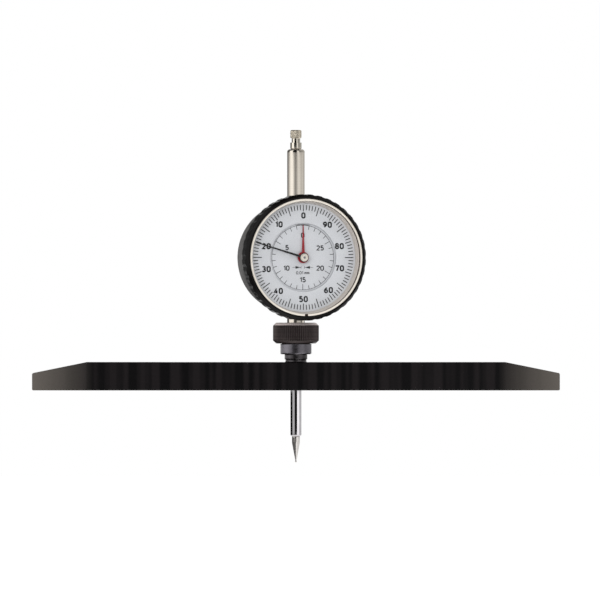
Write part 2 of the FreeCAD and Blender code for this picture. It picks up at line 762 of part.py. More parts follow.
def make_case():
    """The case with its two bosses, and the back cover on its four screws."""
    case = new_body("gauge_case")
    outer, inner = s.case_diameter / 2, case_bore / 2
    groove_low = (rim_rear + s.case_front) / 2 - s.brake_wire / 2
    groove_high = groove_low + s.brake_wire
    groove = outer - s.brake_wire
    ledge_low = front_plate_rear - s.ledge_depth
    turn(case, [
        (inner, -s.case_rear), (outer - s.case_edge, -s.case_rear),
        (outer, s.case_edge - s.case_rear), (outer, groove_low), (groove, groove_low),
        (groove, groove_high), (outer, groove_high), (outer, s.case_front), (inner, s.case_front),
        (inner, front_plate_rear), (ledge_bore / 2, front_plate_rear), (ledge_bore / 2, ledge_low),
        (inner, ledge_low)])
    for side in (1, -1):
        boss = new_sketch(case, "XZ_Plane", side * (inner - s.boss_inside))
        draw_circle(boss, 0, 0, s.boss_diameter)
        pad(case, boss, s.case_wall + s.boss_inside + s.boss_stand, backwards=side < 0)
    bore = new_sketch(case, "XZ_Plane")
    draw_circle(bore, 0, 0, s.stem_spigot)
    cut(case, bore)
    for kind, diameter, depth in (("pad", s.cover_boss_diameter, s.cover_boss_length),
                                  ("cut", s.cover_screw, s.cover_screw_length)):
        sketch = new_sketch(case, "XY_Plane", -s.case_rear)
        for x, y in corners_of_square(cover_screw_circle):
            draw_circle(sketch, x, y, diameter)
        if kind == "pad":
            pad(case, sketch, depth)
        else:
            cut(case, sketch, depth, backwards=True)
    tapped = new_sketch(case, "XY_Plane", front_plate_rear)
    for x, y in LEDGE_SCREWS:
        draw_circle(tapped, x, y, s.movement_screw)
    cut(case, tapped, s.ledge_depth)
    seat(case, "dial")
    keep("gauge_case", case)

    cover = new_body("back_cover")
    rear = -s.case_rear - s.cover_thickness
    turn(cover, [
        (0, rear), (outer - 2 * s.case_edge, rear), (outer - s.case_edge, rear + s.case_edge),
        (outer - s.case_edge, -s.case_rear), (0, -s.case_rear)])
    holes = new_sketch(cover, "XY_Plane")
    for x, y in corners_of_square(cover_screw_circle):
        draw_circle(holes, x, y, s.cover_screw)
    cut(cover, holes)
    seat(cover, "dial")
    keep("back_cover", cover)
    compound("cover_screws", "dial", [
        screw(x, y, rear.value, -1, s.cover_head_diameter, s.cover_head_height, s.cover_screw,
              s.cover_thickness + s.cover_screw_length - s.stack_gap)
        for x, y in corners_of_square(cover_screw_circle)])
    wire_low = groove_low + s.running
    ring = new_body("rim_spring")
    turn(ring, tube_outline(2 * groove + 2 * s.running, s.case_diameter, wire_low,
                            groove_high - s.running), 360 - 2 * s.clip_gap_angle)
    seat(ring, "dial", spin=90)
    keep("rim_spring", ring)


def corners_of_square(circle):
    """The four places on a circle, at 45 degrees to the dial's upright."""
    leg = circle / 2 * root_of(Size.of(0.5))
    return [(leg, leg), (-leg, leg), (-leg, -leg), (leg, -leg)]


def screw(x, y, under_head, way, head, head_height, shank, length):
    """A slotted cheese-head screw along z: its head stands out on the side that way names."""
    x, y = Size.of(x).value, Size.of(y).value
    top = under_head + way * head_height.value
    ends = sorted((under_head, top)), sorted((under_head, under_head - way * length.value))
    head_solid = ring_solid(0, head.value, *ends[0], x, y)
    slot = Part.makeBox(head.value * 1.1, head.value / 5, head_height.value)
    deep = head_height.value / 2
    slot_low = top - deep if way > 0 else top + deep - head_height.value
    slot.translate(FreeCAD.Vector(x - head.value * 0.55, y - head.value / 10, slot_low))
    return head_solid.cut(slot).fuse(ring_solid(0, shank.value, *ends[1], x, y)).removeSplitter()


def make_rim():
    """The turning rim with its scalloped grip, and what turns with it."""
    rim = new_body("rim")
    outer, bore = rim_diameter / 2, rim_bore / 2
    skirt = s.case_diameter / 2 + s.running
    lip = outer - s.rim_slope_width
    turn(rim, [
        (skirt, rim_rear), (outer - s.rim_edge, rim_rear),
        (outer, rim_rear + s.rim_edge), (outer, rim_front - s.rim_slope_depth),
        (lip, rim_front), (bore + s.clip_groove, rim_front), (bore, clip_front), (bore, scale_rear),
        (skirt, scale_rear)])
    scallop = new_sketch(rim, "XY_Plane", rim_rear)
    draw_circle(scallop, outer + s.scallop_radius - s.scallop_depth, 0, 2 * s.scallop_radius)
    around(rim, cut(rim, scallop, s.rim_depth, backwards=True), s.scallop_count)
    seat(rim, "dial")
    keep("rim", rim)
    # The scale, the sloping spacer, the crystal and the clip lie on one another inside the bore.
    loose = bore - s.running
    turned_piece("dial_scale", "dial", tube_outline(
        s.scale_window, 2 * loose, scale_rear, scale_front))
    turned_piece("spacer_ring", "dial", [
        (bore - s.spacer_foot, scale_front), (loose, scale_front), (loose, crystal_rear),
        (bore - s.spacer_wall, crystal_rear)])
    turned_piece("crystal", "dial", [
        (0, crystal_rear), (loose, crystal_rear), (loose, crystal_front), (0, crystal_front)])
    clip = new_body("tension_ring")
    turn(clip, tube_outline(2 * (bore - s.clip_width), 2 * loose, crystal_front, clip_front),
         360 - s.clip_gap_angle)
    seat(clip, "dial", spin=90)
    keep("tension_ring", clip)


def make_plates():
    """The three movement plates, their pillars and screws, and the counter dial on its posts."""
    pivot = s.pivot_diameter + 2 * s.running
    plate("rear_plate", rear_plate_diameter, -s.rear_plate_depth, s.plate_thickness, [
        (rack_x, rack_y, pivot), *((x, y, s.movement_screw) for x, y in PILLARS)])
    plate("middle_plate", s.middle_plate_diameter, middle_plate_rear, s.middle_plate_thickness, [
        (0, 0, pivot), (takeup_x, takeup_y, pivot),
        (rack_x, rack_y, s.arbor_diameter + s.stack_gap),
        *((x, y, s.movement_screw) for x, y in PILLARS)])
    plate("front_plate", case_bore - 2 * s.running, front_plate_rear, s.plate_thickness, [
        (0, 0, s.centre_arbor_diameter + 2 * s.bush_wall), (takeup_x, takeup_y, pivot),
        (rack_x, rack_y, s.arbor_journal + 2 * s.running),
        *((x, y, s.movement_screw) for x, y in PILLARS + LEDGE_SCREWS)])
    rods = []
    for x, y in PILLARS:
        rods.append(ring_solid(0, s.pillar_diameter.value, rear_plate_front.value,
                               middle_plate_rear.value, x, y))
        upper = ring_solid(0, s.pillar_diameter.value, s.middle_plate_front.value,
                           front_plate_rear.value, x, y)
        stud = ring_solid(0, s.movement_screw.value, middle_plate_rear.value,
                          s.middle_plate_front.value, x, y)
        rods[-1] = rods[-1].fuse(upper).fuse(stud).removeSplitter()
    compound("plate_pillars", "dial", rods)
    thin = s.plate_thickness
    screws = [screw(x, y, -s.rear_plate_depth.value, -1, s.movement_head_diameter,
                    s.movement_head_height, s.movement_screw, thin) for x, y in PILLARS]
    screws += [screw(x, y, s.front_plate_front.value, 1, s.movement_head_diameter,
                     s.movement_head_height, s.movement_screw, thin) for x, y in PILLARS]
    compound("pillar_screws", "dial", screws)
    compound("plate_screws", "dial", [
        screw(x, y, s.front_plate_front.value, 1, s.ledge_head_diameter, s.movement_head_height,
              s.movement_screw, s.plate_thickness + s.ledge_depth - s.stack_gap)
        for x, y in LEDGE_SCREWS])
    compound("dial_posts", "dial", [
        ring_solid(0, s.dial_post_diameter.value, s.front_plate_front.value,
                   (s.counter_dial_front - s.counter_dial_thickness).value, x, y)
        for x, y in on_circle(s.dial_post_circle, DIAL_POST_BEARINGS)])
    turned_piece("counter_dial", "dial", tube_outline(
        s.counter_tube_diameter + 2 * s.stack_gap, counter_dial_diameter,
        s.counter_dial_front - s.counter_dial_thickness, s.counter_dial_front))
    turned_piece("centre_bush", "dial", tube_outline(
        s.centre_arbor_diameter + 2 * s.running, s.centre_arbor_diameter + 2 * s.bush_wall,
        front_plate_rear, s.counter_hand_front - s.hand_thickness / 2))


def plate(label, diameter, low, thickness, holes):
    """A round movement plate with holes given as (x, y, diameter)."""
    body = new_body(label)
    blank = new_sketch(body, "XY_Plane", low)
    draw_circle(blank, 0, 0, diameter)
    for x, y, hole in holes:
        draw_circle(blank, x, y, hole)
    pad(body, blank, thickness)
    seat(body, "dial")
    return keep(label, body)


def make_guide():
    """The slotted bar that keeps the spindle from turning, the measuring spring and its post."""
    bar = new_body("guide_bar")
    pin_rest = s.dial_height - s.guide_pin_drop
    play = s.guide_pin_diameter / 2 + s.stack_gap
    slot_low, slot_high = pin_rest - play, pin_rest + s.travel + play
    front, back = -s.guide_bar_front, -rear_plate_front
    side = new_sketch(bar, "YZ_Plane", s.guide_bar_offset)
    end_low = slot_low - s.guide_bar_end
    end_high = s.dial_height + case_bore / 2 - s.boss_inside - s.stack_gap
    draw_outline(side, [(front, end_low), (back, end_low), (back, end_high), (front, end_high)])
    pad(bar, side, s.guide_bar_thickness)
    slot = new_sketch(bar, "YZ_Plane", s.guide_bar_offset + s.guide_bar_thickness)
    half = s.guide_pin_diameter / 2 + s.slot_fit
    draw_outline(slot, [(-half, slot_low), (half, slot_low), (half, slot_high), (-half, slot_high)])
    cut(bar, slot)
    seat(bar, "gauge")
    keep("guide_bar", bar)

    anchor_y = -s.guide_pin_drop - s.spring_length
    post_top = s.spring_wire * 2
    turned_piece("spring_post", "dial", [
        (0, rear_plate_front), (s.guide_pin_diameter / 2, rear_plate_front),
        (s.guide_pin_diameter / 2, post_top), (s.guide_pin_diameter / 2 + s.spring_wire, post_top),
        (s.guide_pin_diameter / 2 + s.spring_wire, post_top + s.spring_wire),
        (0, post_top + s.spring_wire)], x=s.spring_offset, y=anchor_y)

    spring = new_body("measuring_spring")
    coil, wire = s.spring_coil_diameter, s.spring_wire
    loop_in = coil / 2 - wire / 2
    inset = loop_in - s.guide_pin_diameter / 2 - s.running
    half_pin = s.guide_pin_diameter / 2
    low = inset + coil / 2
    length = s.spring_length - 2 * low
    section = new_sketch(spring, "XZ_Plane")
    draw_outline(section, [
        ((coil - wire) / 2, low), (coil / 2, low - wire / 2), ((coil + wire) / 2, low),
        (coil / 2, low + wire / 2)])
    helix = spring.newObject("PartDesign::AdditiveHelix", "spring_coil")
    helix.Profile = section
    helix.ReferenceAxis = (section, ["V_Axis"])
    helix.Mode = 0
    helix.setExpression("Pitch", (length / s.spring_turns).text)
    helix.setExpression("Height", length.text)
    spring.Tip = helix
    for role, middle in (("XZ_Plane", inset), ("YZ_Plane", s.spring_length - inset)):
        loop = new_sketch(spring, role)
        draw_circle(loop, 0, middle, coil + wire)
        draw_circle(loop, 0, middle, coil - wire)
        pad(spring, loop, wire, both_ways=True)
    for middle in (low, s.spring_length - low):
        bridge_wire = new_sketch(spring, "XZ_Plane")
        draw_outline(bridge_wire, [
            (-coil / 2, middle - wire / 2), (coil / 2, middle - wire / 2),
            (coil / 2, middle + wire / 2), (-coil / 2, middle + wire / 2)])
        pad(spring, bridge_wire, wire, both_ways=True)
    seat(spring, "gauge", x=s.spring_offset, z=s.dial_height + anchor_y)
    keep("measuring_spring", spring)


def toothed_ring(body, teeth, module, low, width, shares):
    """Cuts tooth spaces round a blank. Shares are the space's half-widths in pitches, from the
    tip to the root, at radii of one module above, on, and 1.25 modules below the pitch circle.
    """
    pitch_radius = teeth * module / 2
    pitch = math.pi * module
    heights = (1.0, 0.0, -1.25)
    right = [(pitch_radius + module * h, pitch * share) for h, share in zip(heights, shares)]
    top = (pitch_radius + 1.4 * module, right[0][1])
    right = [top, *right]
    left = [(x, -y) for x, y in reversed(right)]
    gap = new_sketch(body, "XY_Plane", low)
    draw_outline(gap, right + left)
    return around(body, cut(body, gap, width, backwards=True), teeth)


# Half-widths of the tooth spaces in pitches: at the tip, on the pitch circle and at the root.
WHEEL_SPACE = (0.42, 0.29, 0.22)
LEAF_SPACE = (0.50, 0.33, 0.20)
RACK_PINION_SPACE = (0.47, 0.27, 0.165)
# Corners of a window between a wheel's arms, as shares of the radius under its rim.
WINDOW_END = 0.94
WINDOW_CORNER = (0.72, 0.6)


def spoked_wheel(label, module, teeth, low, bore, spaces, place):
    """A wheel with its teeth, crossed out to four arms and bored for its arbor."""
    body = new_body(label)
    blank = new_sketch(body, "XY_Plane", low)
    draw_circle(blank, 0, 0, module * (teeth + 2))
    draw_circle(blank, 0, 0, bore)
    pad(body, blank, s.wheel_thickness)
    toothed_ring(body, teeth, module, low, s.wheel_thickness, spaces)
    window = new_sketch(body, "XY_Plane", low)
    half = s.arbor_diameter / 2
    reach = s.wheel_rim_diameter / 2 * module * teeth / (s.train_module * s.wheel_teeth)
    far, near = (reach * share for share in WINDOW_CORNER)
    draw_outline(window, [
        (half, half), (reach * WINDOW_END, half), (far, near), (near, far),
        (half, reach * WINDOW_END)])
    doc.recompute()
    around(body, cut(body, window, s.wheel_thickness, backwards=True), 4)
    hub = new_sketch(body, "XY_Plane", low)
    draw_circle(hub, 0, 0, s.wheel_hub_diameter)
    draw_circle(hub, 0, 0, bore)
    pad(body, hub, s.wheel_thickness + s.bush_wall / 2)
    seat(body, "dial", **place)
    return keep(label, body)


def make_train():
    """The gear train from the rack to the pointer, the counter wheel and the take-up wheel."""
    rack_place = {"x": rack_x, "y": rack_y}
    running_gap = s.running
    arbor = new_body("rack_arbor")
    pivot, shaft, journal = s.pivot_diameter, s.arbor_diameter, s.arbor_journal
    blank = s.rack_module * (s.rack_pinion_teeth + 2)
    half = s.rack_pinion_width / 2
    turn(arbor, rod_outline(
        (pivot, running_gap - s.rear_plate_depth), (pivot, rear_plate_front + running_gap),
        (shaft, -half), (blank, half), (shaft, front_plate_rear - running_gap),
        (journal, s.counter_wheel_low + 2 * s.wheel_thickness)))
    toothed_ring(arbor, s.rack_pinion_teeth, s.rack_module, -half, s.rack_pinion_width,
                 RACK_PINION_SPACE)
    seat(arbor, "dial", spin=180 / s.rack_pinion_teeth, **rack_place)
    keep("rack_arbor", arbor)

    spoked_wheel("main_wheel", s.train_module, s.wheel_teeth, s.main_wheel_low, shaft, WHEEL_SPACE,
                 {**rack_place, "spin": mesh_angle + 180 / s.wheel_teeth})
    pinion = new_body("counter_pinion")
    low = s.counter_wheel_low - s.bush_wall / 2
    sheet_pad = new_sketch(pinion, "XY_Plane", low)
    draw_circle(sheet_pad, 0, 0, counter_module * (s.counter_pinion_teeth + 2))
    draw_circle(sheet_pad, 0, 0, journal)
    pad(pinion, sheet_pad, s.counter_pinion_width)
    toothed_ring(pinion, s.counter_pinion_teeth, counter_module, low, s.counter_pinion_width,
                 RACK_PINION_SPACE)
    seat(pinion, "dial", spin=mesh_angle + 180 / s.counter_pinion_teeth, **rack_place)
    keep("counter_pinion", pinion)

    centre = new_body("centre_arbor")
    leaf_tip = s.train_module * (s.centre_pinion_teeth + 2)
    leaf_top = s.centre_pinion_low + s.centre_pinion_width
    thin = s.centre_arbor_diameter
    hand_rear = s.pointer_front - s.hand_thickness
    turn(centre, rod_outline(
        (pivot, middle_plate_rear + running_gap), (pivot, s.middle_plate_front + running_gap),
        (thin, s.centre_pinion_low), (leaf_tip, leaf_top), (thin, s.pointer_front + s.cap_height / 2)))
    toothed_ring(centre, s.centre_pinion_teeth, s.train_module, s.centre_pinion_low,
                 s.centre_pinion_width, LEAF_SPACE)
    pinion_angle = mesh_angle + 180
    seat(centre, "dial", spin=pinion_angle)
    keep("centre_arbor", centre)

    make_hand("pointer", thin, s.pointer_hub_diameter, s.pointer_root_width,
              s.pointer_tip_width, s.pointer_length, hand_rear,
              s.counter_hand_front + s.stack_gap, s.pointer_rest)
    cap_half = s.cap_diameter / 2
    cap_top = s.pointer_front + s.cap_height
    turned_piece("pointer_cap", "dial", [
        (thin / 2, s.pointer_front), (cap_half, s.pointer_front),
        (cap_half, cap_top - s.collar_edge), (cap_half - s.collar_edge, cap_top), (0, cap_top),
        (0, s.pointer_front + s.cap_height / 2), (thin / 2, s.pointer_front + s.cap_height / 2)])

    tube_bore = s.centre_arbor_diameter + 2 * s.bush_wall + 2 * s.running
    counter = new_body("counter_wheel")
    flat = new_sketch(counter, "XY_Plane", s.counter_wheel_low)
    draw_circle(flat, 0, 0, counter_module * (s.counter_wheel_teeth + 2))
    draw_circle(flat, 0, 0, tube_bore)
    pad(counter, flat, s.wheel_thickness)
    toothed_ring(counter, s.counter_wheel_teeth, counter_module, s.counter_wheel_low,
                 s.wheel_thickness, WHEEL_SPACE)
    sleeve = new_sketch(counter, "XY_Plane", s.front_plate_front + s.stack_gap / 2)
    draw_circle(sleeve, 0, 0, s.counter_tube_diameter)
    draw_circle(sleeve, 0, 0, tube_bore)
    pad(counter, sleeve, s.counter_hand_front - s.front_plate_front - s.stack_gap / 2)
    seat(counter, "dial", spin=pinion_angle)
    keep("counter_wheel", counter)
    make_hand("counter_hand", s.counter_tube_diameter, s.counter_hub_diameter,
              s.counter_hand_root_width, s.counter_hand_tip_width, s.counter_hand_length,
              s.counter_hand_front - s.hand_thickness, None, s.counter_rest)

    takeup_place = {"x": takeup_x, "y": takeup_y}
    turned_piece("takeup_arbor", "dial", rod_outline(
        (pivot, middle_plate_rear + running_gap), (pivot, s.middle_plate_front + running_gap),
        (thin, s.hairspring_low), (s.hairspring_collet, s.hairspring_low + s.hairspring_width),
        (thin, front_plate_rear - running_gap),
        (pivot, s.front_plate_front - running_gap)), **takeup_place)
    # The take-up wheel's phase follows from where the centre pinion's leaves stand at its own mesh.
    leaf_pitch = 360 / s.centre_pinion_teeth
    offset = pinion_angle + leaf_pitch / 2 + s.takeup_bearing
    turns = offset * s.centre_pinion_teeth / s.wheel_teeth
    spoked_wheel("takeup_wheel", s.train_module, s.wheel_teeth, s.takeup_wheel_low, thin,
                 WHEEL_SPACE, {**takeup_place, "spin": 180 - s.takeup_bearing - turns})

    make_hairspring()


def make_hand(label, bore, hub, root, tip, length, rear, boss_rear, rest):
    """A flat tapering hand on a round hub. The hub's boss, if any, reaches back to boss_rear."""
    body = new_body(label)
    disc = new_sketch(body, "XY_Plane", rear)
    draw_circle(disc, 0, 0, hub)
    draw_circle(disc, 0, 0, bore)
    pad(body, disc, s.hand_thickness)
    blade = new_sketch(body, "XY_Plane", rear)
    start = hub * 0.45
    draw_outline(blade, [
        (-root / 2, start), (root / 2, start), (tip / 2, length - tip), (0, length),
        (-tip / 2, length - tip)])
    pad(body, blade, s.hand_thickness)
    if boss_rear is not None:
        boss = new_sketch(body, "XY_Plane", boss_rear)
        draw_circle(boss, 0, 0, bore + 4 * s.bush_wall)
        draw_circle(boss, 0, 0, bore)
        pad(body, boss, rear - boss_rear)
    seat(body, "dial", spin=rest)
    return keep(label, body)


def make_hairspring():
    """The flat spiral that keeps the train's play to one side, and the stud that holds its end."""
    inner = (s.hairspring_collet / 2).value
    outer = (s.hairspring_diameter / 2).value
    strip = s.hairspring_strip.value
    steps = int(s.hairspring_turns.value) * 24
    angles = [2 * math.pi * s.hairspring_turns.value * i / steps for i in range(steps + 1)]
    radii = [inner + (outer - inner) * i / steps for i in range(steps + 1)]
    low = s.hairspring_low.value

    def rail(offset):
        return [FreeCAD.Vector((r + offset) * math.cos(a), (r + offset) * math.sin(a), low)
                for r, a in zip(radii, angles)]

    edge = rail(strip) + list(reversed(rail(0.0)))
    ribbon = Part.Face(Part.makePolygon(edge + edge[:1])).extrude(
        FreeCAD.Vector(0, 0, s.hairspring_width.value))
    compound("hairspring", "dial", [ribbon], x=takeup_x, y=takeup_y)
    turned_piece("hairspring_stud", "dial", [
        (0, s.hairspring_low), (s.spring_wire, s.hairspring_low), (s.spring_wire, front_plate_rear),
        (0, front_plate_rear)],
        x=takeup_x + s.hairspring_diameter / 2 + s.hairspring_strip + s.spring_wire, y=takeup_y)


def write_pieces():
    """Tests every object and writes one STEP file for each piece."""
    doc.recompute()
    faults = [thing.Name for thing in doc.Objects
              if "Invalid" in thing.State or "Error" in thing.State]
    for label, thing in pieces.items():
        if thing.Shape.isNull() or not thing.Shape.isValid():
            faults.append(label)
    if faults:
        raise ValueError(f"these objects are at fault: {faults}")
    os.makedirs("parts", exist_ok=True)
    for label, thing in pieces.items():
        thing.Shape.exportStep(f"parts/{label}.step")
        print(f"{label}: {thing.Shape.Volume:.3f} mm3 in {len(thing.Shape.Solids)} solid(s)")


make_bridge()
make_clamp()
make_stem()
make_spindle()
make_case()
make_rim()
make_plates()
make_guide()
make_train()
write_pieces()
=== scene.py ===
"""Dial depth gauge: the visible pieces, their finishes, and a plain studio.

Local sizes are millimetres. Three local frames are used. BRIDGE is the row frame. GAUGE is turned
about the spindle's axis as the head is in its clamp. DIAL stands on the dial's middle, with x to
the right, y up and z out of the glass. Every finished piece is stored in the row frame in metres.
"""

import json
import logging
import math
from collections.abc import Callable
from dataclasses import dataclass, field
from enum import Enum

import bmesh
import bpy
import numpy as np
from mathutils import Matrix

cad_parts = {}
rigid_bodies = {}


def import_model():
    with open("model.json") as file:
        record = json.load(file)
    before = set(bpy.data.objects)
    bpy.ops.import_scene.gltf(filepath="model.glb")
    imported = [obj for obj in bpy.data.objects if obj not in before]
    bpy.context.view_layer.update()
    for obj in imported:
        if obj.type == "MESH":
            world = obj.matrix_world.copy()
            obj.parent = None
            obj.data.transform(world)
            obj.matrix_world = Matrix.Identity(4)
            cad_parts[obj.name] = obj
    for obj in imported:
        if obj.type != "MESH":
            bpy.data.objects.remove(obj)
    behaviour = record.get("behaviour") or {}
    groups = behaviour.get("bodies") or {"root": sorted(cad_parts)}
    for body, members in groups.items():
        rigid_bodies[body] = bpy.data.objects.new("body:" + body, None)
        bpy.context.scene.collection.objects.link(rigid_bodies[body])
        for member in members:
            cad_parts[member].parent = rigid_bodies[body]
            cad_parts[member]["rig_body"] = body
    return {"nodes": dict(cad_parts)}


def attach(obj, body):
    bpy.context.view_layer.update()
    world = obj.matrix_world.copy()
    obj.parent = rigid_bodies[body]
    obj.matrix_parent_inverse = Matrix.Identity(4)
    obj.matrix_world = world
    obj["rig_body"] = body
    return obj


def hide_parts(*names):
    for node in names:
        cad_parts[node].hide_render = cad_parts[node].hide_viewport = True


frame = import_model()
LOG = logging.getLogger("depth_gauge")
Tree = bpy.types.NodeTree
Socket = bpy.types.NodeSocket
MM = 0.001
SENSOR_WIDTH = 36.0
DIAL_HEIGHT = 60.4
HEAD_TURN = 17.0
VIEW_DISTANCE = 4000.0
VIEW_HEIGHT = 41.1


class Place(Enum):
    """The local frames, each as the 4x4 matrix from its millimetres to the row frame's."""

    BRIDGE = Matrix.Identity(4)
    GAUGE = Matrix.Rotation(math.radians(HEAD_TURN), 4, "Z")
    DIAL = (Matrix.Rotation(math.radians(HEAD_TURN), 4, "Z")
            @ Matrix.Translation((0.0, 0.0, DIAL_HEIGHT)) @ Matrix.Rotation(math.pi / 2, 4, "X"))


class Grain(Enum):
    """How a surface was worked, which decides the marks that its finish carries."""

    TURNED = "rings left by a lathe tool, the same all round the axis"
    DRAWN = "long fine lines along the axis"
    # The broad tone bands along x are painted reflection bands; the short cross-grinding marks are
    # the real grain.
    GROUND = "short cross-grinding marks and broad tone bands along x"
    MATT = "fine even tooth with faint mottling"
    POLISHED = "almost no marks, only faint haze"


def linear(code: str) -> tuple[float, float, float, float]:
    """Turns an sRGB hex colour into Blender's linear values.

    Args:
        code: a colour such as "#3a3433".

    Returns:
        The linear red, green and blue with an alpha of 1.
    """
    parts = [int(code[i:i + 2], 16) / 255 for i in (1, 3, 5)]
    curve = [c / 12.92 if c <= 0.04045 else ((c + 0.055) / 1.055) ** 2.4 for c in parts]
    return (*curve, 1.0)


def add_node(tree: Tree, kind: str, settings: dict | None = None,
             **inputs: object) -> bpy.types.Node:
    """Adds one node with its settings and its inputs.

    Args:
        tree: the node tree.
        kind: the node's type name.
        settings: node properties by name.
        inputs: socket values by the socket's name, with underscores for spaces, or by its number
            as in0, in1 and so on. An output socket is linked.

    Returns:
        The new node.
    """
    node = tree.nodes.new(kind)
    for name, value in (settings or {}).items():
        setattr(node, name, value)
    for name, value in inputs.items():
        number = name.removeprefix("in")
        socket = node.inputs[int(number) if number.isdigit() else name.replace("_", " ")]
        if isinstance(value, Socket):
            tree.links.new(value, socket)
        else:
            socket.default_value = value
    return node


def empty_tree(owner: bpy.types.Material | bpy.types.World) -> Tree:
    """The node tree of a material or a world, with its first nodes taken out."""
    owner.use_nodes = True
    owner.node_tree.nodes.clear()
    return owner.node_tree


def add_object(name: str, data: bpy.types.ID) -> bpy.types.Object:
    """Makes an object of a mesh, a lamp or a camera, and puts it in the scene."""
    item = bpy.data.objects.new(name, data)
    bpy.context.scene.collection.objects.link(item)
    return item


def mix_colours(tree: Tree, share: Socket, first: object, second: object) -> Socket:
    """Blends two colours.

    Args:
        tree: the node tree.
        share: the socket that gives the second colour's part.
        first: a colour, or the socket that gives it.
        second: the other colour.

    Returns:
        The socket of the blend.
    """
    blend = add_node(tree, "ShaderNodeMix", {"data_type": "RGBA"}, in0=share, in6=first,
                     in7=second)
    return blend.outputs[2]


